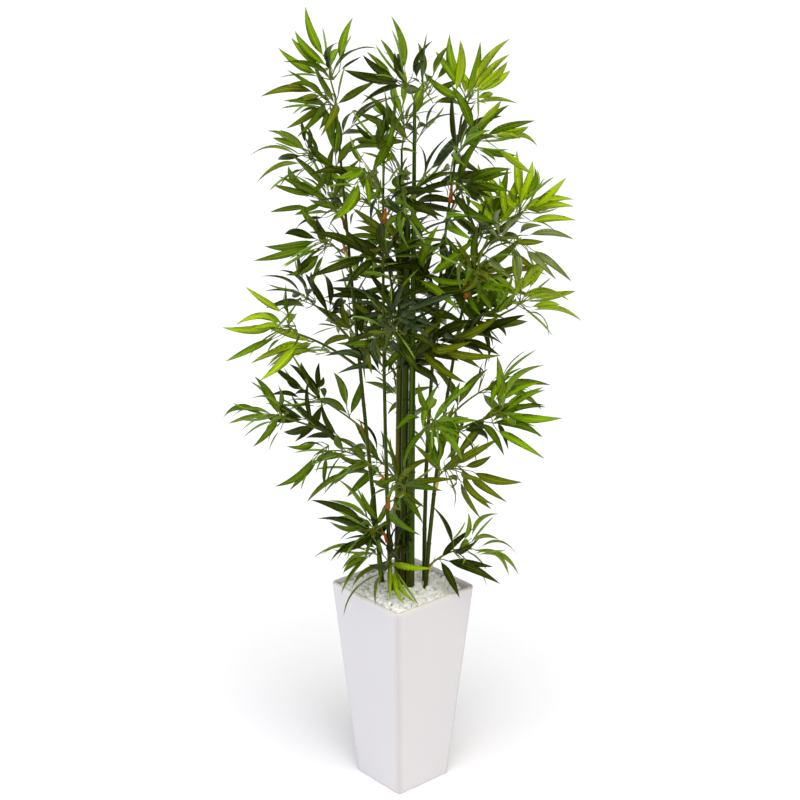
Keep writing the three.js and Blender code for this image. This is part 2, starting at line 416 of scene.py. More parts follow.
class Tint(Enum):
    """The dye lots that the leaves are cut from."""

    LIME = Greens(tone(142, 178, 0), tone(156, 176, 40), tone(186, 210, 34), tone(162, 196, 8))
    FRESH = Greens(tone(102, 144, 0), tone(122, 148, 26), tone(150, 180, 24), tone(122, 162, 4))
    MID = Greens(tone(66, 98, 0), tone(94, 116, 22), tone(112, 136, 16), tone(84, 116, 2))
    OLIVE = Greens(tone(86, 98, 0), tone(110, 120, 28), tone(132, 142, 24), tone(106, 118, 4))
    DEEP = Greens(tone(24, 38, 0), tone(52, 66, 12), tone(66, 82, 10), tone(40, 56, 0))
    SEA = Greens(tone(24, 42, 6), tone(70, 88, 44), tone(72, 92, 34), tone(42, 62, 16))
    PALE = Greens(tone(92, 108, 34), tone(134, 144, 92), tone(132, 144, 70), tone(112, 126, 48))


# ---------------------------------------------------------------------------------------
# Mesh and node-tree building


def plain_mesh(
    name: str,
    points: Iterable[Vector],
    faces: Sequence[Sequence[int]] = (),
    edges: Sequence[tuple[int, int]] = (),
) -> bpy.types.Mesh:
    """Make a mesh from its points and from its faces or edges, as numbers of those points."""
    mesh = bpy.data.meshes.new(name)
    mesh.from_pydata([tuple(point) for point in points], edges, faces)
    return mesh


def smooth(mesh: bpy.types.Mesh, corners: int | None = None) -> None:
    """Shade a mesh's faces smooth: all of them, or only those with so many corners."""
    chosen = [corners in (None, len(face.vertices)) for face in mesh.polygons]
    mesh.polygons.foreach_set("use_smooth", chosen)


def label(mesh: bpy.types.Mesh, name: str, kind: str, domain: str, values: Sequence[Any]) -> None:
    """Give a mesh a named attribute.

    Args:
        mesh: The mesh.
        name: The attribute's name.
        kind: Its data type, whole or decimal numbers or vectors.
        domain: What carries it, points or faces.
        values: Its values, with vectors laid end to end.
    """
    layer = mesh.attributes.new(name, kind, domain)
    layer.data.foreach_set("vector" if kind == "FLOAT_VECTOR" else "value", values)


def make_piece(name: str, data: bpy.types.ID) -> bpy.types.Object:
    """Put a mesh, lamp or camera in the scene as an object at the origin and return it."""
    piece = bpy.data.objects.new(name, data)
    bpy.context.scene.collection.objects.link(piece)
    return piece


def settle(piece: bpy.types.Object, slot: str, *nodes: str) -> None:
    """Ride a finished piece on the plant and hide the nodes it stands for.

    Args:
        piece: The finished piece.
        slot: The record's material slot. Not used.
        *nodes: The CAD nodes that it replaces.
    """
    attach(piece, BODY)
    if nodes:
        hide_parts(*nodes)
    LOG.info("%s: %d faces, %d nodes replaced", piece.name, len(piece.data.polygons), len(nodes))


class Lathe:
    """Collects rings of points and skins them into a closed, smooth mesh."""

    def __init__(self) -> None:
        """Start with no rings."""
        self.points: list[Vector] = []
        self.faces: list[list[int]] = []

    def skin(self, rings: Sequence[Sequence[Vector]]) -> None:
        """Add a tube through rings of the same number of points, closed at both ends.

        Args:
            rings: The rings from one end to the other, each anticlockwise seen from the far end.
        """
        start = len(self.points)
        count = len(rings[0])
        for ring in rings:
            self.points.extend(ring)
        for i in range(len(rings) - 1):
            low = start + i * count
            for j in range(count):
                k = (j + 1) % count
                self.faces.append([low + j, low + k, low + count + k, low + count + j])
        last = start + (len(rings) - 1) * count
        self.faces.append([start + j for j in reversed(range(count))])
        self.faces.append([last + j for j in range(count)])

    def mesh(self, name: str, material: bpy.types.Material | None = None) -> bpy.types.Mesh:
        """Turn what was collected into a smooth mesh with flat ends, in its material if any."""
        mesh = plain_mesh(name, self.points, self.faces)
        smooth(mesh, 4)
        if material:
            mesh.materials.append(material)
        mesh.validate()
        return mesh


class GrowthTree(NodeTree):
    """A Geometry Nodes tree with named inputs."""

    def __init__(self, name: str) -> None:
        """Start a tree that takes and gives geometry."""
        super().__init__(bpy.data.node_groups.new(name, "GeometryNodeTree"))
        for way in ("INPUT", "OUTPUT"):
            self.tree.interface.new_socket("Geometry", in_out=way, socket_type="NodeSocketGeometry")
        self.entry = self.tree.nodes.new("NodeGroupInput")
        self.exit = self.tree.nodes.new("NodeGroupOutput")

    def input(self, name: str, kind: str) -> bpy.types.NodeSocket:
        """Add a named input of a socket type and return where it comes in."""
        self.tree.interface.new_socket(name, in_out="INPUT", socket_type=kind)
        return self.entry.outputs[name]

    def named(self, name: str, kind: str) -> bpy.types.NodeSocket:
        """Read a named attribute of a data type."""
        made = self.node("GeometryNodeInputNamedAttribute", {"data_type": kind}, {"Name": name})
        return made.outputs["Attribute"]

    def placed(
        self,
        points: bpy.types.NodeSocket,
        shapes: bpy.types.NodeSocket,
        number: bpy.types.NodeSocket,
        turn: bpy.types.NodeSocket,
        size: bpy.types.NodeSocket,
    ) -> bpy.types.NodeSocket:
        """Place a shape on each point.

        Args:
            points: The points.
            shapes: The collection of shapes.
            number: Which shape of the collection each point gets.
            turn: How it is turned, as Euler angles.
            size: Its scale.

        Returns:
            The placed shapes.
        """
        apart = {"Collection": shapes, "Separate Children": True, "Reset Children": True}
        values = {
            "Points": points,
            "Instance": self.node("GeometryNodeCollectionInfo", {}, apart).outputs[0],
            "Pick Instance": True,
            "Instance Index": number,
            "Rotation": self.node("FunctionNodeEulerToRotation", {}, {0: turn}).outputs[0],
            "Scale": size,
        }
        return self.node("GeometryNodeInstanceOnPoints", {}, values).outputs[0]

    def painted(self, geometry: bpy.types.NodeSocket, materials: Sequence[str]) -> None:
        """End the tree: realize the instances and give each side its material.

        Args:
            geometry: What was grown.
            materials: Names of the material inputs. The first goes on everything, and each
                next one on the faces whose attribute "side" is its number.
        """
        made = self.node("GeometryNodeRealizeInstances", {}, {0: geometry}).outputs[0]
        for number, name in enumerate(materials):
            values = {"Geometry": made, "Material": self.input(name, "NodeSocketMaterial")}
            if number:
                side = self.named("side", "INT")
                compare = {"data_type": "INT", "operation": "EQUAL"}
                chosen = self.node("FunctionNodeCompare", compare, {2: side, 3: number})
                values["Selection"] = chosen.outputs[0]
            made = self.node("GeometryNodeSetMaterial", {}, values).outputs[0]
        self.link(made, self.exit.inputs[0])

    def grow(self, piece: bpy.types.Object, values: dict[str, Any]) -> bpy.types.Object:
        """Run the tree on a piece and keep the result as its plain mesh.

        Args:
            piece: The object that holds the starting points.
            values: What each named input is set to.

        Returns:
            The piece, with its new mesh and no modifier.
        """
        modifier = piece.modifiers.new("growth", "NODES")
        modifier.node_group = self.tree
        for item in self.tree.interface.items_tree:
            if item.in_out == "INPUT" and item.name in values:
                modifier[item.identifier] = values[item.name]
        piece.update_tag()
        scene_graph = bpy.context.evaluated_depsgraph_get()
        grown = bpy.data.meshes.new_from_object(
            piece.evaluated_get(scene_graph), preserve_all_data_layers=True, depsgraph=scene_graph
        )
        piece.modifiers.clear()
        piece.data = grown
        return piece


class ShapeBox:
    """A hidden collection of small shapes to be strewn or hung many times over."""

    def __init__(self, name: str, meshes: Iterable[bpy.types.Mesh]) -> None:
        """Fill a box with shapes, numbered in the order in which they come."""
        self.collection = bpy.data.collections.new(name)
        for number, mesh in enumerate(meshes):
            self.collection.objects.link(bpy.data.objects.new(f"{name}_{number:02d}", mesh))

    def discard(self) -> None:
        """Delete the shapes once they have been used."""
        for shape in list(self.collection.objects):
            bpy.data.meshes.remove(shape.data)
        bpy.data.collections.remove(self.collection)


# ---------------------------------------------------------------------------------------
# Reading the frame


@dataclass
class Limb:
    """The centre line of a cane or bough, with its radius at each station."""

    name: str
    line: list[Vector]
    radii: list[float]

    @classmethod
    def read(cls, name: str, node: bpy.types.Object, sides: int) -> Limb:
        """Find the centre line of a limb that is a row of rings.

        Args:
            name: The node's name.
            node: The CAD node's object.
            sides: How many corners each ring has.

        Returns:
            The limb from its lower end to its upper end.
        """
        corners = Solid.merged(node)[0]
        middle = corners.mean(axis=0)
        axis = np.linalg.svd(corners - middle, full_matrices=False)[2][0]
        axis = axis if axis[2] > 0 else -axis
        order = np.argsort((corners - middle) @ axis)
        rings = [corners[order[i : i + sides]] for i in range(0, len(order) - sides + 1, sides)]
        line = [Vector(ring.mean(axis=0)) for ring in rings]
        radii = [float(np.linalg.norm(ring - ring.mean(axis=0), axis=1).mean()) for ring in rings]
        return cls(name, line, radii)

    def joints(self, proud: float = 1.07) -> list[Vector]:
        """Return where the rings stand out, which are the joints of the cane."""
        found = []
        for i in range(1, len(self.line) - 1):
            if self.radii[i] > proud * max(self.radii[i - 1], self.radii[i + 1]):
                found.append(self.line[i])
        return found

    def at_height(self, height: float) -> Vector:
        """Return the point of the centre line at a height, or the nearer end."""
        if height <= self.line[0].z:
            return self.line[0].copy()
        for low, high in zip(self.line, self.line[1:]):
            if low.z <= height <= high.z:
                return low.lerp(high, (height - low.z) / max(high.z - low.z, 1e-9))
        return self.line[-1].copy()

    def radius_near(self, spot: Vector) -> float:
        """Return the radius at the station nearest to a spot."""
        best = min(range(len(self.line)), key=lambda i: (self.line[i] - spot).length)
        return self.radii[best]


@dataclass
class Solid:
    """A lobed spray solid: the hub that its lobes point away from, and the lobes' tips."""

    name: str
    hub: Vector
    tips: list[Vector]

    @staticmethod
    def merged(node: bpy.types.Object) -> tuple[np.ndarray, list[tuple[int, ...]]]:
        """Merge the loose triangles of a CAD node.

        Args:
            node: The CAD node's object.

        Returns:
            Its corners, each once, and its triangles as numbers of those corners.
        """
        mesh = node.data
        places = np.zeros(len(mesh.vertices) * 3)
        mesh.vertices.foreach_get("co", places)
        places = places.reshape(-1, 3)
        _, first, number = np.unique(
            np.round(places, 5), axis=0, return_index=True, return_inverse=True
        )
        number = number.reshape(-1)
        triangles = [tuple(int(number[v]) for v in face.vertices) for face in mesh.polygons]
        return places[first], triangles

    @classmethod
    def read(cls, name: str, node: bpy.types.Object, clearance: float) -> Solid:
        """Find a spray's hub and the tips of its lobes.

        Args:
            name: The node's name.
            node: The CAD node's object.
            clearance: Radius of the round back of the solid, whose middle is the hub.

        Returns:
            What was read.
        """
        corners, triangles = cls.merged(node)
        # The back of the solid is round, so the hub is drawn to that round's middle.
        hub = corners.mean(axis=0)
        for _ in range(200):
            gap = corners - hub
            far = np.linalg.norm(gap, axis=1)
            near = far < 2.2 * max(clearance, float(np.sort(far)[len(far) // 5]))
            pull = (far[near] - clearance) / np.maximum(far[near], 1e-6)
            weight = np.exp(-(((far[near] - clearance) / clearance) ** 2))
            shift = (gap[near] * pull[:, None] * weight[:, None]).sum(axis=0) / weight.sum()
            hub = hub + 0.5 * shift
        # A tip is a corner that lies further from the hub than every corner next to it.
        far = np.linalg.norm(corners - hub, axis=1)
        beside: dict[int, set[int]] = {i: set() for i in range(len(corners))}
        for face in triangles:
            for corner in face:
                beside[corner].update(face)
        reach = 0.45 * far.max()
        peaks = [
            i
            for i, others in beside.items()
            if far[i] > reach and far[i] >= max(far[j] for j in others)
        ]
        return cls(name, Vector(hub), [Vector(corners[i]) for i in peaks])


# ---------------------------------------------------------------------------------------
# Planter and pebbles


@dataclass
class TowerPlanter:
    """The tapered square pot with rounded edges and a rolled lip. Lengths are in metres.

    Attributes:
        height: Height of the lip.
        top_side: Width across the lip.
        foot_side: Width across the foot.
        wall: Thickness of the wall.
        floor: Thickness of the floor.
        top_corner: Radius of the upright edges at the lip.
        foot_corner: Radius of the upright edges at the foot.
        lip: Height of the lip's rounding.
        foot_edge: Radius of the edge round the foot.
        thinnest_corner: Least radius of an edge inside the wall.
        inside: Depth below the lip down to which the inside keeps close rings.
        corner_steps: Faces round each upright edge.
        side_steps: Faces across each side.
        edge_steps: Rings round the foot's edge.
        lip_steps: Rings over the lip.
        inner_levels: Rings down the inside.
        levels: Rings up the outside.
    """

    height: float
    top_side: float
    foot_side: float
    wall: float
    floor: float = 0.012
    top_corner: float = 0.014
    foot_corner: float = 0.009
    lip: float = 0.0045
    foot_edge: float = 0.003
    thinnest_corner: float = 0.003
    inside: float = 0.05
    corner_steps: int = 14
    side_steps: int = 8
    edge_steps: int = 5
    lip_steps: int = 12
    inner_levels: int = 8
    levels: int = 30

    @classmethod
    def from_frame(cls, frame: dict[str, Any]) -> TowerPlanter:
        """Take the pot's sizes from its own node and from the bed that fills it."""
        low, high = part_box("planter")
        corners = Solid.merged(frame["nodes"]["planter"])[0]
        bottom = corners[corners[:, 2] < low.z + 0.004]
        bed_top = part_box("pebble_bed")[1]
        height = high.z - low.z
        foot_side = float(np.ptp(bottom[:, 0]))
        side_at_bed = foot_side + (high.x - low.x - foot_side) * bed_top.z / height
        wall = 0.5 * side_at_bed - bed_top.x
        return cls(height, high.x - low.x, foot_side, wall)

    def ring(self, height: float, inset: float, sides: int = 0) -> list[Vector]:
        """Return a level ring of the pot's outside, drawn in by an inset.

        Args:
            height: The ring's height.
            inset: How far it lies inside the outer face.
            sides: Extra points along each flat side, or 0 for the pot's own number.

        Returns:
            The ring's points, anticlockwise from above.
        """
        share = height / self.height
        side = self.foot_side + (self.top_side - self.foot_side) * share - 2.0 * inset
        corner = self.foot_corner + (self.top_corner - self.foot_corner) * share - inset
        corner = max(corner, self.thinnest_corner)
        diagonal = (0.5 * side - corner) * math.sqrt(2.0)
        steps = sides or self.side_steps
        quarter_turn = math.pi / 2.0
        points = []
        for quarter in range(4):
            centre = heading((quarter + 0.5) * quarter_turn) * diagonal
            for step in range(self.corner_steps + 1):
                turn = (quarter + step / self.corner_steps) * quarter_turn
                points.append(centre + heading(turn) * corner)
            following = heading((quarter + 1.5) * quarter_turn) * diagonal
            edge = heading((quarter + 1) * quarter_turn) * corner
            for step in range(1, steps):
                points.append((centre + edge).lerp(following + edge, step / steps))
        return [Vector((spot.x, spot.y, height)) for spot in points]

    def build(self) -> None:
        """Build the pot as one closed wall and dress it in glaze."""
        rings = [self.ring(0.0, self.foot_edge)]
        for step in range(1, self.edge_steps + 1):
            turn = step / self.edge_steps * math.pi / 2.0
            rise, inset = 1.0 - math.cos(turn), 1.0 - math.sin(turn)
            rings.append(self.ring(self.foot_edge * rise, self.foot_edge * inset))
        straight = self.height - self.lip - self.foot_edge
        for level in range(1, self.levels):
            rings.append(self.ring(self.foot_edge + straight * level / self.levels, 0.0))
        for step in range(self.lip_steps + 1):
            turn = step / self.lip_steps * math.pi
            rise = self.lip * math.sin(turn) - self.lip
            inset = self.wall * 0.5 * (1.0 - math.cos(turn))
            rings.append(self.ring(self.height + rise, inset))
        for level in range(1, self.inner_levels + 1):
            drop = self.inside * level / self.inner_levels
            rings.append(self.ring(self.height - self.lip - drop, self.wall))
        rings.append(self.ring(self.floor, self.wall))
        lathe = Lathe()
        lathe.skin(rings)
        mesh = lathe.mesh("tower_planter", Glaze().material(self.height))
        settle(make_piece("tower_planter", mesh), "planter", "planter")


@dataclass
class PebbleBed:
    """White marble chips heaped on the filling, up to just under the lip.

    Attributes:
        planter: The pot that the bed fills.
        level: Height of the bed.
        chip: Radius of a middling chip.
        shapes: How many shapes of chip there are.
        spacing: Least distance between chips in a layer.
        densest: Most chips to the square metre, before the close ones are dropped.
        tilt: Most by which a chip leans, in radians.
        heap: How much higher the bed is in the middle.
        lump: How uneven its surface is.
        filling_gap: Gap between the filling and the wall.
        planes: How many planes cut a ball into a chip.
        seed: Seed of the chips' dice.
    """

    planter: TowerPlanter
    level: float
    chip: float = 0.0066
    shapes: int = 10
    spacing: float = 0.0074
    densest: float = 90000.0
    tilt: float = 0.6
    heap: float = 0.004
    lump: float = 0.0022
    filling_gap: float = 0.0004
    planes: int = 9
    seed: int = 11

    def shape(self, number: int) -> bpy.types.Mesh:
        """Make one chip: a ball cut by a few planes and roughened.

        Args:
            number: The chip's number, which seeds its shape.

        Returns:
            A mesh about one unit in radius.
        """
        dice = random.Random(self.seed + number)
        stretch = Vector([dice.uniform(*ends) for ends in ((0.9, 1.35), (0.75, 1.05), (0.55, 0.8))])
        cuts = []
        for _ in range(self.planes):
            way = Vector([dice.gauss(0, 1) for _ in range(3)]).normalized()
            cuts.append((way, dice.uniform(0.62, 0.9)))
        ball = bmesh.new()
        bmesh.ops.create_icosphere(ball, subdivisions=3, radius=1.0)
        for corner in ball.verts:
            spot = corner.co.normalized()
            for way, far in cuts:
                over = spot.dot(way) - far
                if over > 0.0:
                    spot = spot - way * over * 0.92
            wobble = 1.0 + 0.07 * noise.noise(spot * 2.3 + Vector((number * 3.1, 0.0, 0.0)))
            corner.co = spot * stretch * wobble
        mesh = bpy.data.meshes.new("chip")
        ball.to_mesh(mesh)
        ball.free()
        smooth(mesh)
        return mesh

    def tree(self) -> GrowthTree:
        """Build the tree that strews chips over a surface."""
        tree = GrowthTree("strewn_chips")
        shapes = tree.input("Chip Shapes", "NodeSocketCollection")
        spacing = tree.input("Spacing", "NodeSocketFloat")
        size = tree.input("Chip Radius", "NodeSocketFloat")
        seed = tree.input("Seed", "NodeSocketInt")
        thin = {"Distance Min": spacing, "Density Max": self.densest, "Seed": seed}
        strewn = tree.node(
            "GeometryNodeDistributePointsOnFaces",
            {"distribute_method": "POISSON"},
            {"Mesh": tree.entry.outputs[0], **thin},
        )
        low, high = (-self.tilt, -self.tilt, -math.pi), (self.tilt, self.tilt, math.pi)
        kind = "FunctionNodeRandomValue"
        turn = tree.node(kind, {"data_type": "FLOAT_VECTOR"}, {0: low, 1: high, "Seed": seed})
        scale = tree.node(kind, {"data_type": "FLOAT"}, {2: 0.72, 3: 1.25, "Seed": seed})
        pick = tree.node(kind, {"data_type": "INT"}, {4: 0, 5: self.shapes - 1, "Seed": seed})
        radius = (Wire(tree, scale.outputs[1]) * size).socket
        placed = tree.placed(
            strewn.outputs["Points"], shapes, pick.outputs[2], turn.outputs[0], radius
        )
        tree.painted(placed, ["Stone"])
        return tree

    def surface(self, level: float, inset: float, name: str) -> bpy.types.Object:
        """Make the gently heaped surface that one layer of chips lies on."""
        outer = self.planter.ring(level, self.planter.wall + inset, 6)
        shares = (0.25, 0.5, 0.75, 1.0)
        rings = [[Vector((p.x * share, p.y * share, level)) for p in outer] for share in shares]
        points = [Vector((0.0, 0.0, level))] + [p for ring in rings for p in ring]
        for point in points:
            far = max(abs(point.x), abs(point.y)) / (0.5 * self.planter.top_side)
            lump = noise.noise(Vector((point.x * 30.0, point.y * 30.0, 4.0)))
            point.z += self.heap * (1.0 - far) + self.lump * lump
        count = len(outer)
        faces = [[0, 1 + j, 1 + (j + 1) % count] for j in range(count)]
        for i in range(len(rings) - 1):
            for j in range(count):
                k = (j + 1) % count
                low, high = 1 + i * count, 1 + (i + 1) * count
                faces.append([low + j, high + j, high + k, low + k])
        return make_piece(name, plain_mesh(name, points, faces))

    def build(self) -> None:
        """Build the filling and two layers of chips on it."""
        stone = Marble().material()
        lathe = Lathe()
        gap = self.planter.wall + self.filling_gap
        heights = (self.planter.floor + 0.001, self.level - 0.005)
        lathe.skin([self.planter.ring(height, gap) for height in heights])
        filling = make_piece("pot_filling", lathe.mesh("pot_filling", stone))
        settle(filling, "pebbles", "pebble_bed")
        box = ShapeBox("chip_shape", [self.shape(number) for number in range(self.shapes)])
        tree = self.tree()
        layers = (("pebbles_lower", 0.0, 0.007, 1.0), ("pebbles_upper", 0.0055, 0.0062, 1.08))
        for number, (name, lift, inset, spread) in enumerate(layers):
            piece = self.surface(self.level + lift, inset, name)
            values = {
                "Chip Shapes": box.collection,
                "Spacing": self.spacing * spread,
                "Chip Radius": self.chip,
                "Seed": self.seed + number,
                "Stone": stone,
            }
            settle(tree.grow(piece, values), "pebbles")
        box.discard()


# ---------------------------------------------------------------------------------------
# Canes and boughs


@dataclass
class Canes:
    """The upright canes with their raised joints, and the boughs that leave them.

    Attributes:
        canes: The canes.
        boughs: The boughs.
        ground: Height of the pebbles.
        sides: Faces round each.
        step: Distance between rings.
        ridge: How far a joint stands out, as a share of the radius.
        swell: How much thicker the skins of the thick canes are, so that they touch.
        joint_reach: How far from a joint the plain rings stay.
    """

    canes: list[Limb]
    boughs: list[Limb]
    ground: float
    sides: int = 20
    step: float = 0.006
    ridge: float = 0.16
    swell: float = 0.0004
    joint_reach: float = 0.0045

    SKINS: ClassVar[dict[str, CaneSkin]] = {
        "cane_" + place: CaneSkin(f"cane_{colour}_green", tone(*dark), tone(*light), browning=brown)
        for place, colour, dark, light, brown in (
            ("thick_left", "brown", (28, 34, 0), (66, 66, 4), 0.45),
            ("thick_middle", "dark", (12, 24, 0), (34, 54, 0), 0.18),
            ("thick_right", "bright", (18, 40, 0), (50, 82, 0), 0.12),
        )
    }
    SLIM: ClassVar[CaneSkin] = CaneSkin("cane_slim_green", tone(20, 34, 0), tone(48, 66, 0))
    # The rings of a joint: millimetres above its middle, and the share of the ridge there.
    JOINT: ClassVar[tuple[tuple[float, float], ...]] = (
        (-3.0, 0.0),
        (-1.7, 0.35),
        (-0.9, 0.9),
        (-0.3, 0.25),
        (0.4, 1.0),
        (1.2, 0.7),
        (2.4, 0.12),
        (4.0, 0.0),
    )

    @staticmethod
    def smooth_line(
        line: Sequence[Vector], radii: Sequence[float], step: float
    ) -> list[tuple[Vector, float]]:
        """Resample a centre line at even steps, with a running mean to round its corners.

        Args:
            line: The stations of the limb.
            radii: The radius at each.
            step: The wanted spacing.

        Returns:
            Evenly spaced (point, radius) pairs from end to end.
        """
        lengths = [0.0]
        for low, high in zip(line, line[1:]):
            lengths.append(lengths[-1] + (high - low).length)
        count = max(int(lengths[-1] / step), 4)
        at = np.linspace(0.0, lengths[-1], count + 1)
        width = np.interp(at, lengths, radii)
        kernel = np.ones(5) / 5.0
        columns = []
        for axis in range(3):
            column = np.interp(at, lengths, [point[axis] for point in line])
            padded = np.pad(column, 2, mode="reflect", reflect_type="odd")
            columns.append(np.convolve(padded, kernel, mode="valid"))
        return [(Vector(spot), float(radius)) for *spot, radius in zip(*columns, width)]

    def tube(
        self, lathe: Lathe, stations: Sequence[tuple[Vector, float]], level_foot: bool
    ) -> None:
        """Add a round tube through stations to a lathe, with its foot cut level or square."""
        count = len(stations)
        side = Vector((1.0, 0.0, 0.0))
        rings = []
        for i, (spot, radius) in enumerate(stations):
            way = stations[min(i + 1, count - 1)][0] - stations[max(i - 1, 0)][0]
            side = across(way, side)
            other = way.normalized().cross(side)
            ring = []
            for j in range(self.sides):
                turn = 2.0 * math.pi * j / self.sides
                ring.append(spot + (side * math.cos(turn) + other * math.sin(turn)) * radius)
            if level_foot and i == 0:
                ring = [Vector((p.x, p.y, spot.z)) for p in ring]
            rings.append(ring)
        lathe.skin(rings)

    def cane_stations(self, cane: Limb) -> list[tuple[Vector, float]]:
        """Return the stations of a cane, with a crisp double ridge and a groove at each joint."""
        swell = self.swell if cane.name in self.SKINS else 0.0
        plain = [radius + swell for radius in cane.radii]
        joints = cane.joints()
        for i, spot in enumerate(cane.line):
            if any((spot - joint).length < 1e-6 for joint in joints):
                plain[i] = 0.5 * (plain[i - 1] + plain[i + 1])
        stations = self.smooth_line(cane.line, plain, self.step)
        # Each joint gets rings of its own, in place of the plain ones near it.
        extra = []
        for joint in joints:
            best = min(range(1, len(stations) - 1), key=lambda i: (stations[i][0] - joint).length)
            way = (stations[best + 1][0] - stations[best - 1][0]).normalized()
            for offset, proud in self.JOINT:
                spot = joint + way * offset * MILLIMETRE
                extra.append((spot, stations[best][1] * (1.0 + self.ridge * proud)))
        plain_rings = [
            station
            for station in stations
            if all((station[0] - joint).length > self.joint_reach for joint in joints)
        ]
        return sorted(plain_rings + extra, key=lambda station: station[0].z)

    def build(self) -> None:
        """Build every cane in its own piece, and all the boughs together in one."""
        slim = self.SLIM.material(self.ground)
        for cane in self.canes:
            skin = self.SKINS.get(cane.name)
            lathe = Lathe()
            self.tube(lathe, self.cane_stations(cane), True)
            mesh = lathe.mesh(cane.name, skin.material(self.ground) if skin else slim)
            settle(make_piece(cane.name + "_skin", mesh), "cane", cane.name)
        lathe = Lathe()
        for bough in self.boughs:
            self.tube(lathe, self.smooth_line(bough.line, bough.radii, self.step), False)
        mesh = lathe.mesh("bough_skins", PlainSkin("bough_green", tone(72, 86, 10), 0.4).material())
        settle(make_piece("bough_skins", mesh), "twig", *[bough.name for bough in self.boughs])


# ---------------------------------------------------------------------------------------
# Leaves


@dataclass
class Hung:
    """Things to be hung as copies: where each goes, how it is turned, its size and shape."""

    spots: list[Vector] = field(default_factory=list)
    turns: list[Vector] = field(default_factory=list)
    sizes: list[Vector] = field(default_factory=list)
    shapes: list[int] = field(default_factory=list)

    def add(self, base: Vector, tip: Vector, face: Vector, width: float, shape: int) -> None:
        """Hang one copy, with its length from base to tip.

        Args:
            base: Where it is joined on.
            tip: Where it ends.
            face: The way that its upper side looks, as nearly as its direction lets it.
            width: Its width as a share of the shape's own.
            shape: The number of the shape in its box.
        """
        way = tip - base
        normal = across(way, face)
        side = way.normalized().cross(normal)
        turn = Matrix((side, way.normalized(), normal)).transposed().to_euler()
        self.spots.append(base)
        self.turns.append(Vector(turn))
        self.sizes.append(Vector((width, way.length, way.length)))
        self.shapes.append(shape)

    def points(self, name: str) -> bpy.types.Object:
        """Return an object with one point for each copy, carrying its turn, size and shape."""
        mesh = plain_mesh(name, self.spots)
        for key, values in (("turn", self.turns), ("size", self.sizes)):
            label(mesh, key, "FLOAT_VECTOR", "POINT", [part for value in values for part in value])
        label(mesh, "shape", "INT", "POINT", self.shapes)
        return make_piece(name, mesh)


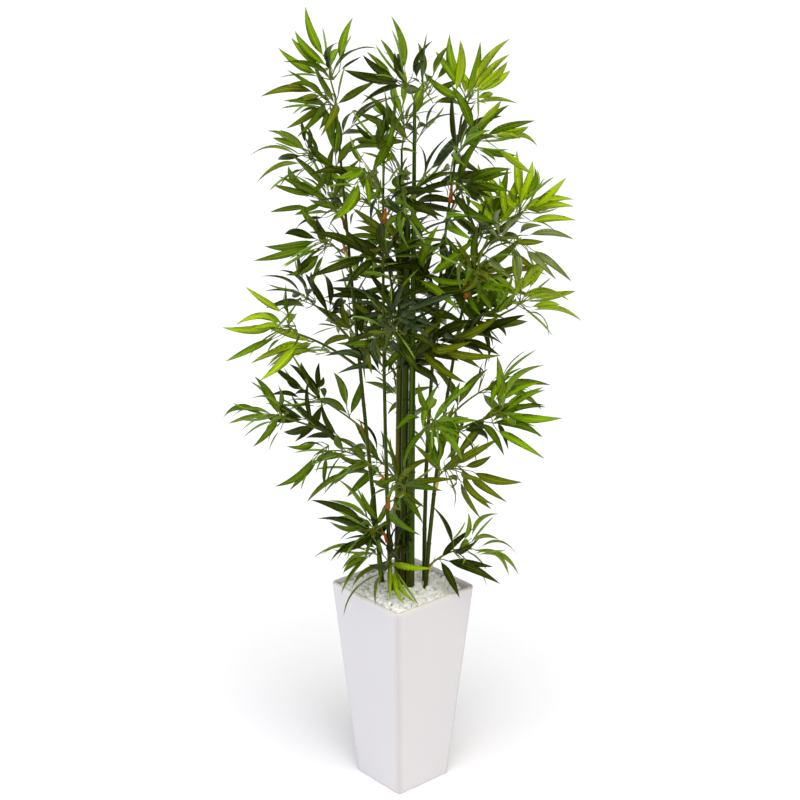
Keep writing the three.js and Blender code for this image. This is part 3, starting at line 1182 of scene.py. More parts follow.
@dataclass(frozen=True)
class LeafCut:
    """One pressed leaf shape: a long blade on a short stalk, creased along its midrib.

    Attributes:
        arch: How high it bows above the line from base to tip, as a share of its length.
        sweep: How far it curves sideways, as a share of its length.
        twist: Turn from base to tip in degrees.
        fold: Slope of each half up from the midrib, in degrees.
        width: Widest part of the blade, as a share of its length.
        stalk: Length of the bare stalk, as a share of its length.
        widest: Where the blade is widest, as a share of its length.
        steps: Rows of faces along the blade.
        thickness: Thickness at the midrib, as a share of its length.
        stem: Half the stalk's width, as a share of the leaf's length.
        untwisted: The share of its length at which its twist is nothing.
    """

    arch: float
    sweep: float
    twist: float
    fold: float
    width: float = 0.138
    stalk: float = 0.07
    widest: float = 0.34
    steps: int = 11
    thickness: float = 0.004
    stem: float = 0.006
    untwisted: float = 0.3

    # Where the edges of the strips lie across the blade, and which side's cloth each strip has.
    COLUMNS: ClassVar[tuple[float, ...]] = (-1.0, -0.56, -0.45, -0.08, 0.08, 0.45, 0.56, 1.0)
    STRIPS: ClassVar[tuple[int, ...]] = (0, 3, 0, 2, 0, 3, 0)

    def half_width(self, share: float) -> float:
        """Return half the blade's width at a share of its length, as a share of the length."""
        if share < self.stalk:
            return self.stem
        along = min((share - self.stalk) / (1.0 - self.stalk), 1.0)
        if along < self.widest:
            blade = 1.0 - (1.0 - along / self.widest) ** 2.2
        else:
            blade = 1.0 - ((along - self.widest) / (1.0 - self.widest)) ** 1.75
        return max(0.5 * self.width * blade, self.stem * (1.0 - along))

    def spot(self, share: float, column: float, drop: float) -> Vector:
        """Return a point of the bent leaf.

        Args:
            share: How far along the leaf it lies.
            column: How far across, from -1 to 1.
            drop: How far under the upper side it lies.

        Returns:
            The point, in the shape's own frame.
        """
        half = self.half_width(share)
        turn = math.radians(self.twist) * (share - self.untwisted)
        bow = 4.0 * share * (1.0 - share)
        x = column * half
        z = math.tan(math.radians(self.fold)) * half * abs(column) ** 1.3 - drop
        across_leaf = x * math.cos(turn) - z * math.sin(turn)
        up = x * math.sin(turn) + z * math.cos(turn)
        return Vector((bow * self.sweep + across_leaf, share, bow * self.arch + up))

    def mesh(self) -> bpy.types.Mesh:
        """Build the leaf along +Y, one unit long, with its upper side towards +Z.

        Returns:
            A closed mesh whose faces carry their side: 0 upper, 1 back, 2 midrib and 3 vein.
        """
        blade = 1.0 - self.stalk
        rows = [0.0, self.stalk]
        rows += [self.stalk + blade * (i / self.steps) ** 1.15 for i in range(1, self.steps)]
        count = len(self.COLUMNS)
        points: list[Vector] = []
        maps: list[tuple[float, float]] = []
        for share in rows:
            for column in self.COLUMNS:
                points.append(self.spot(share, column, 0.0))
                maps.append((0.5 + 0.5 * column, share))
        under = len(points)
        for share in rows:
            points.append(self.spot(share, 0.0, self.thickness))
            maps.append((0.5, share))
        tip = len(points)
        points.append(Vector((0.0, 1.0, 0.0)))
        maps.append((0.5, 1.0))
        faces: list[list[int]] = []
        sides: list[int] = []
        for row in range(len(rows)):
            low, high = row * count, (row + 1) * count
            left, right, middle = low, low + count - 1, under + row
            last = row == len(rows) - 1
            for column, side in enumerate(self.STRIPS):
                a, b = low + column, low + column + 1
                faces.append([a, b, tip] if last else [a, b, high + column + 1, high + column])
                sides.append(side)
            faces.append([left, tip, middle] if last else [left, high, middle + 1, middle])
            other = [middle, middle + 1, high + count - 1, right]
            faces.append([middle, tip, right] if last else other)
            sides += [1, 1]
        faces.append([*range(count - 1, -1, -1), under])
        sides.append(1)
        mesh = plain_mesh("leaf", points, faces)
        smooth(mesh)
        flat = [part for loop in mesh.loops for part in maps[loop.vertex_index]]
        mesh.uv_layers.new(name="leaf_map").data.foreach_set("uv", flat)
        label(mesh, "side", "INT", "FACE", sides)
        return mesh


@dataclass(frozen=True)
class Needle:
    """One shape of rolled young leaf: a slim pointed rod, gently bowed.

    Attributes:
        bow: How far it bows, as a share of its length.
        foot: Radius of its foot in metres.
        belly: How much thicker it is in the middle, in metres.
        tip: Radius of its tip in metres.
        stretch: How many times too high it is drawn, because its height shrinks with its length.
        steps: Stretches between its rings.
        sides: Sides of each ring.
    """

    bow: float
    foot: float = 0.0009
    belly: float = 0.0012
    tip: float = 0.0002
    stretch: float = 16.0
    steps: int = 7
    sides: int = 6

    def mesh(self) -> bpy.types.Mesh:
        """Build the rod along +Y, one unit long."""
        rings = []
        for i in range(self.steps + 1):
            share = i / self.steps
            belly = self.belly * math.sin(math.pi * share**0.8)
            radius = self.foot + belly if i < self.steps else self.tip
            arc = self.bow * share * (1.0 - share)
            middle = Vector((0.1 * arc, share, 3.0 * arc))
            spokes = [heading(-2.0 * math.pi * j / self.sides) * radius for j in range(self.sides)]
            rings.append([middle + Vector((way.x, 0.0, way.y * self.stretch)) for way in spokes])
        lathe = Lathe()
        lathe.skin(rings)
        return lathe.mesh("needle")


@dataclass(frozen=True)
class Sheath:
    """One shape of dry leaf sheath: a pointed trough that curls away from the cane at its tip.

    Attributes:
        curl: How far its tip curls away, as a share of its length.
        creamy: How many of its steps, from the foot, are creamy.
        half: Half its width at the foot, in metres.
        point: Half its width at the tip, in metres.
        wall: Its thickness, as a share of its length.
        stretch: How many times too high it is drawn, because its height shrinks with its length.
        steps: Rows of faces along it.
    """

    curl: float
    creamy: int = 0
    half: float = 0.0042
    point: float = 0.0002
    wall: float = 0.02
    stretch: float = 26.0
    steps: int = 8

    TROUGH: ClassVar[tuple[tuple[float, float], ...]] = (
        (-1.0, 0.0),
        (-0.6, 0.6),
        (0.0, 0.85),
        (0.6, 0.6),
        (1.0, 0.0),
    )

    def mesh(self) -> bpy.types.Mesh:
        """Build the trough along +Y, one unit long, with side 1 on its creamy faces."""
        rings = []
        for i in range(self.steps + 1):
            share = i / self.steps
            half = self.half * (1.0 - share**1.8) + self.point
            lift = self.curl * share**2
            ring = []
            for x, z in self.TROUGH:
                ring.append(Vector((x * half, share, lift + z * half * self.stretch + self.wall)))
            for x, z in reversed(self.TROUGH[1:-1]):
                ring.append(Vector((x * half * 0.9, share, lift + z * half * self.stretch)))
            rings.append(ring)
        lathe = Lathe()
        lathe.skin(rings)
        mesh = lathe.mesh("sheath")
        creamy = self.creamy * len(rings[0])
        label(mesh, "side", "INT", "FACE", [int(i < creamy) for i in range(len(mesh.polygons))])
        return mesh


def hanging_tree(name: str, materials: Sequence[str]) -> GrowthTree:
    """Build a tree that hangs a numbered shape on each point by its turn and size.

    Args:
        name: The tree's name.
        materials: Names of its material inputs, one for each side of the shapes.

    Returns:
        The tree.
    """
    tree = GrowthTree(name)
    shapes = tree.input("Shapes", "NodeSocketCollection")
    spots = tree.node("GeometryNodeMeshToPoints", {}, {"Mesh": tree.entry.outputs[0]})
    turn, size = tree.named("turn", "FLOAT_VECTOR"), tree.named("size", "FLOAT_VECTOR")
    placed = tree.placed(spots.outputs[0], shapes, tree.named("shape", "INT"), turn, size)
    tree.painted(placed, materials)
    return tree


def slim_tree() -> GrowthTree:
    """Build the tree that turns lines of edges into round twigs, by their girth."""
    tree = GrowthTree("round_twigs")
    sides = tree.input("Sides", "NodeSocketInt")
    curve = tree.node("GeometryNodeMeshToCurve", {}, {"Mesh": tree.entry.outputs[0]})
    ring = tree.node("GeometryNodeCurvePrimitiveCircle", {}, {"Resolution": sides, "Radius": 1.0})
    values = {
        "Curve": curve.outputs[0],
        "Profile Curve": ring.outputs[0],
        "Scale": tree.named("girth", "FLOAT"),
        "Fill Caps": True,
    }
    tree.painted(tree.node("GeometryNodeCurveToMesh", {}, values).outputs[0], ["Twig"])
    return tree


@dataclass
class Twigs:
    """Thin stalks as lines of points, each with its girth."""

    points: list[Vector] = field(default_factory=list)
    girths: list[float] = field(default_factory=list)
    edges: list[tuple[int, int]] = field(default_factory=list)
    sides: int = 8

    def add(self, line: Sequence[Vector], thick: float, thin: float) -> None:
        """Add one stalk that tapers from a thick radius to a thin one."""
        start = len(self.points)
        for i, point in enumerate(line):
            share = i / (len(line) - 1)
            self.points.append(point)
            self.girths.append(thick + (thin - thick) * share)
            if i:
                self.edges.append((start + i - 1, start + i))

    def build(self) -> None:
        """Build all the stalks as one piece."""
        mesh = plain_mesh("twigs", self.points, edges=self.edges)
        label(mesh, "girth", "FLOAT", "POINT", self.girths)
        green = PlainSkin("twig_green", tone(98, 114, 18), 0.42).material()
        piece = slim_tree().grow(make_piece("twigs", mesh), {"Sides": self.sides, "Twig": green})
        smooth(piece.data, 4)
        settle(piece, "twig")


@dataclass
class Foliage:
    """Twigs, fans of leaves, needle buds and leaf sheaths, grown from the limbs by rule.

    Each spray gets a twig from the nearest limb. At its end a fan opens to the tips of the
    spray's solid, and smaller fans sit along the twig behind it. Lengths are in metres.

    Attributes:
        canes: The upright canes.
        boughs: The boughs that leave them.
        solids: The solids of the sprays.
        lip: The highest corner of the planter's box.
        seed: Seed of the plant's dice.
        longest: Longest leaf of a hand.
        leaf_lengths: Shortest and longest of the leaves between a hand's long ones.
        fan_lengths: Shortest and longest leaf of a side fan.
        needle_lengths: Shortest and longest rolled young leaf.
        sheath_lengths: Shortest and longest dry sheath.
        shoots: Shortest and longest shoot under a side hand.
        stalks: Shortest and longest stalk under a side fan.
        spreads: Narrowest and widest opening of a side fan to each side, in degrees.
        stalk_girth: Radius of a stalk at its foot and at its end.
        twiglet_girth: Radius of a leaf's own twiglet at its foot and at its end.
        rise: How far a twig climbs from its cane for each metre out.
        droop: How many steps further the leaves of the present spray arch.
        highest_sheath: Height above which no dry sheath is left.
        lowest_joint: Height below which a cane's joints stay bare.
        lip_gap: How far the leaves stay off the planter's lip.
        crowded: Heights between which the canes' joints carry the most fans.
        front: Bearing of the plant's open front.
    """

    canes: list[Limb]
    boughs: list[Limb]
    solids: list[Solid]
    lip: Vector
    seed: int = 5
    longest: float = 0.13
    leaf_lengths: tuple[float, float] = (0.065, 0.1)
    fan_lengths: tuple[float, float] = (0.08, 0.124)
    needle_lengths: tuple[float, float] = (0.045, 0.075)
    sheath_lengths: tuple[float, float] = (0.028, 0.042)
    shoots: tuple[float, float] = (0.02, 0.04)
    stalks: tuple[float, float] = (0.022, 0.044)
    spreads: tuple[float, float] = (32.0, 56.0)
    stalk_girth: tuple[float, float] = (0.0012, 0.0008)
    twiglet_girth: tuple[float, float] = (0.0010, 0.0007)
    rise: float = 0.62
    droop: float = 0.0
    highest_sheath: float = 1.14
    lowest_joint: float = 0.78
    lip_gap: float = 0.006
    crowded: tuple[float, float] = (0.82, 1.04)
    front: float = math.radians(-41.0)
    hung: dict[Tint, Hung] = field(default_factory=lambda: {tint: Hung() for tint in Tint})
    needles: Hung = field(default_factory=Hung)
    sheaths: Hung = field(default_factory=Hung)
    twigs: Twigs = field(default_factory=Twigs)

    CUTS: ClassVar[tuple[LeafCut, ...]] = (
        LeafCut(0.02, 0.0, 4, 22),
        LeafCut(0.04, 0.045, -10, 18),
        LeafCut(0.06, -0.05, 12, 24),
        LeafCut(0.09, 0.03, -18, 18),
        LeafCut(0.11, -0.07, 16, 21),
        LeafCut(0.15, 0.05, 24, 17),
        LeafCut(0.18, -0.035, -26, 20),
        LeafCut(0.23, 0.06, 14, 17),
    )
    NEEDLES: ClassVar[tuple[Needle, ...]] = (Needle(0.03), Needle(-0.05), Needle(0.07))
    SHEATHS: ClassVar[tuple[Sheath, ...]] = (Sheath(0.10, creamy=4), Sheath(0.16), Sheath(0.05))
    # The sprays whose leaves hang in deeper arches.
    DROOPING: ClassVar[tuple[str, ...]] = (
        "skirt_right",
        "shoulder_front_right",
        "foot_right",
        "low_front_right",
        "upper_front",
        "waist_front",
    )
    # The dye lot of each spray's own leaves.
    MAIN_TINT: ClassVar[dict[str, Tint]] = {
        short: tint
        for tint, sprays in (
            (Tint.LIME, "top_right high_right shoulder_right waist_right waist_front_left"),
            (Tint.FRESH, "top_left top_middle high_back upper_left upper_front_left foot_right"),
            (Tint.FRESH, "low_front low_right low_front_right low_front_left"),
            (Tint.MID, "top_middle_right high_front upper_front upper_back_left foot_left"),
            (Tint.MID, "shoulder_left shoulder_front_left shoulder_back_right skirt_left"),
            (Tint.MID, "middle_back_right low_back skirt_back"),
            (Tint.OLIVE, "high_left waist_front_right middle_back_left skirt_right skirt_front"),
            (Tint.DEEP, "upper_right waist_back waist_left middle_right low_left"),
            (Tint.SEA, "upper_back_right waist_front"),
            (Tint.PALE, "shoulder_front_right"),
        )
        for short in sprays.split()
    }
    # What the inner fans of a spray may be dyed, by the spray's own lot.
    NEIGHBOURS: ClassVar[dict[Tint, tuple[Tint, ...]]] = {
        Tint.LIME: (Tint.LIME, Tint.FRESH, Tint.MID),
        Tint.FRESH: (Tint.FRESH, Tint.MID, Tint.DEEP),
        Tint.MID: (Tint.MID, Tint.DEEP, Tint.MID),
        Tint.OLIVE: (Tint.OLIVE, Tint.MID, Tint.OLIVE),
        Tint.DEEP: (Tint.DEEP, Tint.MID, Tint.DEEP),
        Tint.SEA: (Tint.SEA, Tint.DEEP, Tint.DEEP),
        Tint.PALE: (Tint.PALE, Tint.OLIVE, Tint.MID),
    }
    # The low fans: cane, height, bearing in degrees, rise and dye lot.
    FOOT_FANS: ClassVar[tuple[tuple[str, float, float, float, Tint], ...]] = (
        ("cane_left", 0.470, 290.0, -0.25, Tint.FRESH),
        ("cane_left", 0.450, 225.0, 0.30, Tint.FRESH),
        ("cane_left", 0.470, 250.0, 1.10, Tint.DEEP),
        ("cane_left", 0.500, 225.0, 1.60, Tint.FRESH),
        ("cane_front", 0.455, 300.0, -0.35, Tint.OLIVE),
        ("cane_front", 0.460, 345.0, -0.45, Tint.LIME),
        ("cane_front", 0.450, 250.0, 1.60, Tint.SEA),
        ("cane_front", 0.455, 30.0, 1.90, Tint.DEEP),
        ("cane_front", 0.470, 15.0, 1.20, Tint.DEEP),
        ("cane_thick_left", 0.440, 240.0, 1.50, Tint.DEEP),
    )

    def __post_init__(self) -> None:
        """Seed the plant's own dice."""
        self.dice = random.Random(self.seed)

    def any_way(self) -> Vector:
        """Return a random direction."""
        return Vector([self.dice.gauss(0.0, 1.0) for _ in range(3)]).normalized()

    def near(self, way: Vector, spread: float) -> Vector:
        """Return a direction within a spread, in degrees, of another."""
        tilt = math.radians(spread) * math.sqrt(self.dice.random())
        side = across(way, self.any_way())
        return (way.normalized() * math.cos(tilt) + side * math.sin(tilt)).normalized()

    def tinted(self, main: Tint) -> Tint:
        """Deal an inner fan its dye lot: its spray's own, or a neighbouring, mostly darker one."""
        return self.dice.choice(self.NEIGHBOURS[main])

    def facing(self, spot: Vector, axis: Vector) -> Vector:
        """Return the way that the upper sides in a fan look: round the plant and upwards.

        Args:
            spot: Where the fan sits.
            axis: The way it opens.

        Returns:
            A direction, not of unit length.
        """
        round_way = across(Vector((spot.x, spot.y, 0.0)) + self.any_way() * 1e-4, UP.cross(spot))
        round_way *= self.dice.choice((-1.0, 1.0)) * self.dice.uniform(0.35, 1.0)
        return round_way + UP * self.dice.uniform(0.1, 0.7) + axis * 0.25 + self.any_way() * 0.2

    def over_lip(self, base: Vector, tip: Vector) -> Vector:
        """Return a leaf's tip, lifted until the leaf passes over the planter's lip."""
        for share in (0.4, 0.6, 0.8, 1.0):
            spot = base.lerp(tip, share)
            if max(abs(spot.x), abs(spot.y)) < self.lip.x + self.lip_gap:
                tip = tip + UP * max(0.0, (self.lip.z + self.lip_gap - spot.z) / share)
        return tip

    def leaf(self, base: Vector, tip: Vector, facing: Vector, tint: Tint) -> None:
        """Hang one leaf, arched more the more level it lies.

        Args:
            base: Where its stalk is joined on.
            tip: Where it ends.
            facing: The way that its fan's upper sides look.
            tint: Its dye lot.
        """
        tip = self.over_lip(base, tip)
        way = (tip - base).normalized()
        face = facing.normalized() + self.any_way() * 0.3
        if across(way, face).z < -0.2:
            face = -face
        level = math.sqrt(max(0.0, 1.0 - way.z**2))
        last = len(self.CUTS) - 1
        arched = level * self.dice.uniform(0.15, 1.05) * last + 0.4 + self.droop
        shape = min(int(arched + self.dice.random()), last)
        length = (tip - base).length
        # A short leaf is broader for its length than a long one.
        width = self.dice.uniform(0.86, 1.14) * (0.045 + 0.68 * length)
        self.hung[tint].add(base, tip, face, width, shape)

    def needle(self, base: Vector, way: Vector) -> None:
        """Hang the rolled young leaf that stands in the middle of a fan."""
        tip = base + way * self.dice.uniform(*self.needle_lengths)
        face = UP + self.any_way() * 0.3
        self.needles.add(base, tip, face, 1.0, self.dice.randrange(len(self.NEEDLES)))

    def stalk(self, root: Vector, end: Vector, lift: float) -> None:
        """Add the stalk of a fan, whose middle is lifted a little."""
        self.twigs.add([root, root.lerp(end, 0.5) + UP * lift, end], *self.stalk_girth)

    def fanned(
        self, axis: Vector, side: Vector, normal: Vector, spread: float, tilt: float
    ) -> Vector:
        """Return a direction in a fan.

        Args:
            axis: The way the fan opens.
            side: The way across it.
            normal: The way square to it.
            spread: How far the direction turns from the axis, in degrees.
            tilt: The most by which it leaves the fan's plane.

        Returns:
            A direction, not of unit length.
        """
        turn = math.radians(spread)
        level = axis * math.cos(turn) + side * math.sin(turn)
        return level + normal * self.dice.uniform(-tilt, tilt)

    def bent_away(self, reach: Vector, along: float, rise: float) -> Vector:
        """Return a chance direction off a limb that also leans along it and upwards."""
        aside = across(reach, self.any_way()) * 0.8
        return (aside + reach.normalized() * along + UP * rise).normalized()

    def hand(
        self,
        root: Vector,
        hub: Vector,
        facing: Vector,
        tips: Sequence[Vector],
        extra: int,
        tint: Tint,
    ) -> None:
        """Open a flat hand of leaves at the end of a shoot, out to the given tips.

        A leaf whose tip lies well off the shoot's line leans back towards that line, and stands
        on a twiglet of its own.

        Args:
            root: Where the shoot leaves its twig.
            hub: Where the shoot ends.
            facing: The way the hand's upper sides look.
            tips: Where its long leaves end.
            extra: How many shorter leaves it also has between them.
            tint: Its dye lot.
        """
        shoot = hub - root
        axis = shoot.normalized()
        normal = across(axis, facing)
        side = axis.cross(normal)
        self.stalk(root, hub, 0.06 * shoot.length)
        for tip in tips:
            way = tip - hub
            way -= normal * (way.dot(normal) * 0.45)
            lean = (way.normalized() + axis * self.dice.uniform(0.35, 0.7)).normalized()
            start = hub + way - lean * min(way.length, self.longest) * self.dice.uniform(0.9, 1.0)
            if (start - hub).length > 0.006:
                bend = root.lerp(start, 0.45) + side * ((start - root).dot(side) * 0.2)
                self.twigs.add([root, bend, start], *self.twiglet_girth)
            self.leaf(start, hub + way, normal, tint)
        for _ in range(extra):
            start = hub - axis * (min(0.8 * shoot.length, 0.02) * self.dice.random())
            way = self.fanned(axis, side, normal, self.dice.uniform(-42.0, 42.0), 0.25).normalized()
            self.leaf(start, start + way * self.dice.uniform(*self.leaf_lengths), normal, tint)
        if self.dice.random() < 0.75:
            self.needle(hub, self.near(axis, 25.0))

    def main_fan(self, solid: Solid, line: Sequence[Vector], tint: Tint) -> None:
        """Open the three hands of a spray, which between them reach the tips of its solid.

        Args:
            solid: The spray's solid.
            line: The spray's twig, which ends at its hub.
            tint: Its dye lot.
        """
        ways = [(tip - solid.hub).normalized() for tip in solid.tips]
        axis = sum(ways, Vector()).normalized()
        facing = across(axis, self.facing(solid.hub, axis))
        order = sorted(
            range(len(ways)),
            key=lambda i: abs(ways[i].dot(facing)) + 0.011 * math.degrees(ways[i].angle(axis)),
        )
        ahead = [solid.tips[i] for i in order[:4]]
        reach = sum((tip - solid.hub).length for tip in ahead) / len(ahead)
        hub = solid.hub + axis * min(max(reach - 0.095, 0.008), 0.02)
        self.hand(solid.hub - axis * 0.02, hub, facing, ahead, self.dice.choice((0, 1, 1)), tint)
        for sign in (-1.0, 1.0):
            group = [solid.tips[i] for i in order[4:] if ways[i].dot(facing) * sign > 0.0][:3]
            start = line[self.dice.choice((3, 4, 5, 6))]
            empty = solid.hub + facing * sign * 0.06
            middle = sum(group, Vector()) / len(group) if group else empty
            way = ((middle - start).normalized() + axis * 0.35).normalized()
            shoot = start + way * self.dice.uniform(*self.shoots)
            extra = max(0, 2 - len(group))
            self.hand(start, shoot, axis + UP * 0.4, group, extra, self.tinted(tint))

    def side_fan(self, spot: Vector, axis: Vector, count: int, tint: Tint) -> None:
        """Open a smaller flat fan on a twig or cane, with its outer leaves set further back.

        Args:
            spot: Where it sits.
            axis: The way it opens.
            count: How many leaves it has.
            tint: Its dye lot.
        """
        length = self.dice.uniform(*self.stalks)
        hub = spot + axis * length
        self.stalk(spot, hub, 0.002)
        normal = across(axis, self.facing(hub, axis))
        side = axis.cross(normal)
        spread = self.dice.uniform(*self.spreads)
        for number in range(count):
            share = 2.0 * number / (count - 1) - 1.0
            opened = spread * share + self.dice.uniform(-9.0, 9.0)
            way = self.fanned(axis, side, normal, opened, 0.28) - UP * 0.12
            start = hub - axis * (0.75 * length * abs(share))
            reach = self.dice.uniform(*self.fan_lengths) * (1.0 - 0.12 * abs(share))
            self.leaf(start, start + way.normalized() * reach, normal, tint)
        if self.dice.random() < 0.7:
            self.needle(hub, self.near(axis, 25.0))

    def nearest_limb(self, solid: Solid) -> tuple[Limb, Vector]:
        """Find the limb and the point on it that a spray's twig leaves from."""
        own = [b for b in self.boughs if b.name == "bough_" + solid.name.removeprefix("spray_")]
        if own:
            return own[0], own[0].line[-1].copy()
        best: tuple[float, Limb, Vector] | None = None
        for limb in self.canes:
            level = limb.at_height(solid.hub.z)
            gap = (level - solid.hub).length
            spot = limb.at_height(solid.hub.z - self.rise * gap)
            gap = (spot - solid.hub).length
            if best is None or gap < best[0]:
                best = (gap, limb, spot)
        return best[1], best[2]

    def spray(self, solid: Solid) -> None:
        """Grow one spray: its twig, the fans along it and the hands round its hub."""
        short = solid.name.removeprefix("spray_")
        main = self.MAIN_TINT[short]
        self.droop = 3.0 if short in self.DROOPING else 0.0
        limb, start = self.nearest_limb(solid)
        reach = solid.hub - start
        lift = UP * (0.10 * reach.length)
        bend = across(reach, self.any_way()) * (0.06 * reach.length)
        line = []
        for i in range(9):
            t = i / 8.0
            line.append(start.lerp(solid.hub, t) + (lift + bend) * (4.0 * t * (1.0 - t)))
        on_bough = limb.name.startswith("bough_")
        thick = 0.0016 if on_bough else min(0.0022, 0.0012 + reach.length * 0.008)
        self.twigs.add(line, thick, 0.0011)
        self.main_fan(solid, line, main)
        shares = (0.3, 0.6) if reach.length > 0.1 else (0.45,)
        if short.startswith(("high_", "upper_")):
            shares = (0.15, 0.5)
        for share in shares:
            spot = line[round(share * 8)]
            axis = self.bent_away(reach, 0.6, 0.35)
            self.side_fan(spot, axis, self.dice.choice((2, 3, 4)), self.tinted(main))
        if not on_bough and start.z < self.highest_sheath:
            self.sheath(limb, start, reach)

    def sheath(self, limb: Limb, spot: Vector, reach: Vector) -> None:
        """Wrap the dry red-brown sheath that stands where a twig leaves a cane."""
        way = (UP * 0.9 + reach.normalized() * 0.35).normalized()
        out = across(way, reach)
        base = spot + out * limb.radius_near(spot) * 0.9 - UP * 0.004
        tip = base + way * self.dice.uniform(*self.sheath_lengths)
        self.sheaths.add(base, tip, out, 1.0, self.dice.randrange(len(self.SHEATHS)))

    def bough_fans(self, bough: Limb) -> None:
        """Set two fans along a bough."""
        reach = (bough.line[-1] - bough.line[0]).normalized()
        main = self.MAIN_TINT[bough.name.removeprefix("bough_")]
        for share in (0.4, 0.75):
            spot = bough.line[round(share * (len(bough.line) - 1))]
            self.side_fan(spot, self.bent_away(reach, 0.5, 0.3), 4, self.tinted(main))

    def cane_fans(self, cane: Limb) -> None:
        """Set fans round each of a cane's upper joints, most of them halfway up.

        The fans halfway up turn away from the front, where the thick canes stand open.
        """
        tints = (Tint.MID, Tint.DEEP, Tint.OLIVE, Tint.DEEP, Tint.FRESH, Tint.SEA)
        for joint in cane.joints():
            if joint.z < self.lowest_joint:
                continue
            turn = self.dice.uniform(0.0, 2.0 * math.pi)
            crowded = self.crowded[0] < joint.z < self.crowded[1]
            for _ in range(self.dice.choice((2, 2, 3) if crowded else (1, 1, 2))):
                turn += self.dice.uniform(2.2, 4.0)
                if crowded and math.cos(turn - self.front) > 0.5:
                    turn += 0.5 * math.pi
                axis = heading(turn, self.dice.uniform(0.1, 0.8)).normalized()
                tint = self.dice.choice(tints)
                self.side_fan(joint, axis, self.dice.choice((3, 4, 5)), tint)

    def foot_fans(self) -> None:
        """Set the low fans that hang over the pebbles round the foot of the slim canes."""
        limbs = {cane.name: cane for cane in self.canes}
        for name, height, bearing, rise, tint in self.FOOT_FANS:
            axis = heading(math.radians(bearing), rise).normalized()
            self.side_fan(limbs[name].at_height(height), axis, 4, tint)

    def hang(
        self,
        hung: Hung,
        name: str,
        shapes: Sequence[LeafCut | Needle | Sheath],
        finishes: dict[str, bpy.types.Material],
        slot: str,
        nodes: Iterable[str] = (),
    ) -> None:
        """Hang every copy of one kind as a single piece.

        Args:
            hung: Where the copies go.
            name: The piece's name.
            shapes: The shapes of that kind, by number.
            finishes: The material for each side, by input name.
            slot: The record's material slot.
            nodes: The CAD nodes that the piece replaces.
        """
        LOG.info("%s: %d hung", name, len(hung.spots))
        box = ShapeBox(name + "_shape", [shape.mesh() for shape in shapes])
        tree = hanging_tree(name + "_tree", list(finishes))
        piece = tree.grow(hung.points(name), {"Shapes": box.collection, **finishes})
        box.discard()
        settle(piece, slot, *nodes)

    def silks(self, name: str, tint: Tint) -> dict[str, bpy.types.Material]:
        """Make the cloths of a dye lot, one for each side of its leaves.

        Args:
            name: What the materials' names begin with.
            tint: The dye lot. The bluish and the pale one shine more.

        Returns:
            The materials by input name.
        """
        gloss = {"sheen": (0.85, 0.95, 0.6), "shine": 0.5} if tint in (Tint.SEA, Tint.PALE) else {}
        finishes = {}
        for side in ("face", "back", "rib", "vein"):
            dull = {"roughness": 0.5} if side == "back" else {}
            cloth = Silk(f"{name}_{side}", getattr(tint.value, side), **dull, **gloss)
            finishes[side.capitalize()] = cloth.material()
        return finishes

    def build(self) -> None:
        """Grow the whole plant and make its pieces."""
        for solid in self.solids:
            self.spray(solid)
        for bough in self.boughs:
            self.bough_fans(bough)
        for cane in self.canes:
            self.cane_fans(cane)
        self.foot_fans()
        self.twigs.build()
        for tint, hung in self.hung.items():
            name = "leaves_" + tint.name.lower()
            nodes = ["spray_" + short for short, main in self.MAIN_TINT.items() if main is tint]
            self.hang(hung, name, self.CUTS, self.silks(name, tint), "leaf", nodes)
        young = {"Face": PlainSkin("needle_green", tone(112, 146, 40)).material()}
        dry = {
            "Face": PlainSkin("sheath_red_brown", tone(188, 84, 14), 0.5).material(),
            "Base": PlainSkin("sheath_cream", tone(206, 176, 120), 0.5).material(),
        }
        self.hang(self.needles, "needle_buds", self.NEEDLES, young, "leaf")
        self.hang(self.sheaths, "leaf_sheaths", self.SHEATHS, dry, "twig")


# ---------------------------------------------------------------------------------------
# Studio


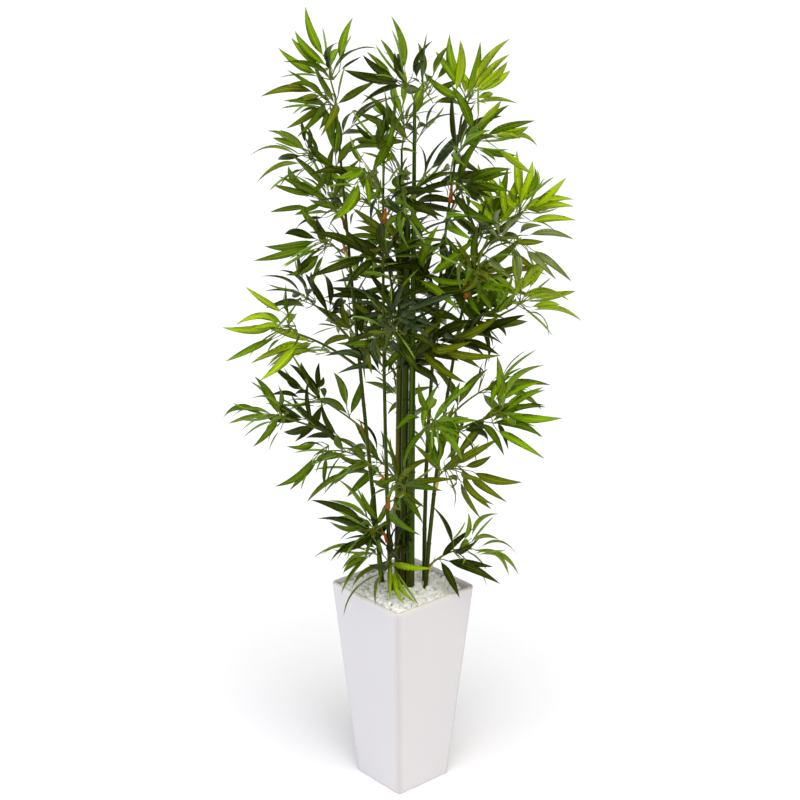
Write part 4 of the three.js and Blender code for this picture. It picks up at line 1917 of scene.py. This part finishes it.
@dataclass
class Studio:
    """Pale floor, soft light and the camera.

    Attributes:
        azimuth: How far the camera stands round from -Y, in degrees.
        pitch: How far it looks down, in degrees.
        distance: Its level distance from the plant.
        eye: Its height.
        aside: How far it stands to its own right.
        lens: Its focal length in millimetres.
        film: Width of its film in millimetres.
        lamp_distance: Level distance of the lamps from the plant.
        aim: Height at which the lamps look.
        floor_side: Side of the floor.
        cool: Colour of the room's light from the camera's left.
        warm: Colour of the room's light from its right.
        room: Strength of the room's light.
        ceiling: Strength of the ceiling's light.
        ceiling_width: How wide the ceiling's light is, in degrees.
    """

    azimuth: float = 49.0
    pitch: float = 19.06
    distance: float = 3.034
    eye: float = 1.811
    aside: float = -0.0049
    lens: float = 80.0
    film: float = 36.0
    lamp_distance: float = 2.6
    aim: float = 0.75
    floor_side: float = 120.0
    cool: Colour = (0.93, 0.98, 1.12)
    warm: Colour = (0.95, 0.84, 0.64)
    room: float = 0.46
    ceiling: float = 2.65
    ceiling_width: float = 50.0

    def turned(self, bearing: float, spot: tuple[float, float, float]) -> Vector:
        """Return a spot given in front of the camera, turned round the plant by a bearing."""
        return Matrix.Rotation(math.radians(self.azimuth + bearing), 4, "Z") @ Vector(spot)

    def camera(self) -> None:
        """Place the camera on its bearing round the plant, looking slightly down."""
        data = bpy.data.cameras.new("camera")
        data.lens = self.lens
        data.sensor_width = self.film
        data.clip_end = 2.0 * self.floor_side
        camera = make_piece("camera", data)
        camera.location = self.turned(0.0, (self.aside, -self.distance, self.eye))
        camera.rotation_euler = (math.radians(90.0 - self.pitch), 0.0, math.radians(self.azimuth))
        bpy.context.scene.camera = camera

    def lamp(
        self, name: str, bearing: float, height: float, size: float, power: float, colour: Colour
    ) -> None:
        """Hang a square soft light that looks at the plant.

        Args:
            name: The lamp's name.
            bearing: Degrees round from the camera, anticlockwise from above.
            height: How high it hangs.
            size: Its side in metres.
            power: Its power in watts.
            colour: Its colour.
        """
        data = bpy.data.lights.new(name, "AREA")
        data.size = size
        data.energy = power
        data.color = colour
        lamp = make_piece(name, data)
        lamp.location = self.turned(bearing, (0.0, -self.lamp_distance, height))
        aim = UP * self.aim - lamp.location
        lamp.rotation_euler = aim.to_track_quat("-Z", "Y").to_euler()

    def sky(self) -> None:
        """Add the soft light of a white room, warmer on the right, and of its ceiling."""
        world = bpy.data.worlds.new("soft_white")
        world.use_nodes = True
        room = NodeTree(world.node_tree)
        way = room.node("ShaderNodeTexCoord", {}, {}).outputs["Generated"]
        right = {0: way, 1: heading(math.radians(self.azimuth))}
        dot = room.node("ShaderNodeVectorMath", {"operation": "DOT_PRODUCT"}, right)
        side = Wire(room, dot.outputs["Value"])
        light = room.blend((side * 0.5 + 0.5).held(), self.cool, self.warm)
        seen = Wire(room, room.node("ShaderNodeLightPath", {}, {}).outputs["Is Camera Ray"])
        background = world.node_tree.nodes["Background"]
        room.link(room.blend(seen, light, (1.0, 1.0, 1.0)), background.inputs["Color"])
        room.link(seen * (1.0 - self.room) + self.room, background.inputs["Strength"])
        bpy.context.scene.world = world
        data = bpy.data.lights.new("ceiling_light", "SUN")
        data.energy = self.ceiling
        data.angle = math.radians(self.ceiling_width)
        turns = (26.0, 4.0, self.azimuth)
        make_piece("ceiling_light", data).rotation_euler = [math.radians(turn) for turn in turns]

    def build(self) -> None:
        """Build the floor, the lights and the camera."""
        far = 0.5 * self.floor_side
        corners = [Vector((x * far, y * far, 0.0)) for x, y in ((-1, -1), (1, -1), (1, 1), (-1, 1))]
        mesh = plain_mesh("studio_floor", corners, [(0, 1, 2, 3)])
        mesh.materials.append(Paint("floor_white", (0.94, 0.945, 0.97), 0.9).material)
        make_piece("studio_floor", mesh)
        bpy.context.scene.view_settings.view_transform = "Standard"
        self.sky()
        self.lamp("key_light", 48.0, 2.3, 1.3, 4.0, (1.0, 0.86, 0.66))
        self.lamp("fill_light", -52.0, 1.7, 1.4, 9.0, (0.94, 0.97, 1.0))
        self.camera()


def main() -> None:
    """Build the planter, the canes, the foliage and the studio around the frame."""
    logging.basicConfig(level=logging.INFO, format="%(name)s: %(message)s")
    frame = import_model()
    nodes = frame["nodes"]
    Studio().build()
    planter = TowerPlanter.from_frame(frame)
    planter.build()
    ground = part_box("pebble_bed")[1].z
    PebbleBed(planter, ground).build()
    canes, boughs = (
        [Limb.read(name, nodes[name], sides) for name in sorted(nodes) if name.startswith(kind)]
        for kind, sides in (("cane_", CANE_SIDES), ("bough_", BOUGH_SIDES))
    )
    sprays = [name for name in sorted(nodes) if name.startswith("spray_")]
    solids = [Solid.read(name, nodes[name], SPRAY_BACK) for name in sprays]
    Canes(canes, boughs, ground).build()
    Foliage(canes, boughs, solids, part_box("planter")[1]).build()
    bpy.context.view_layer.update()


if __name__ == "__main__":
    main()
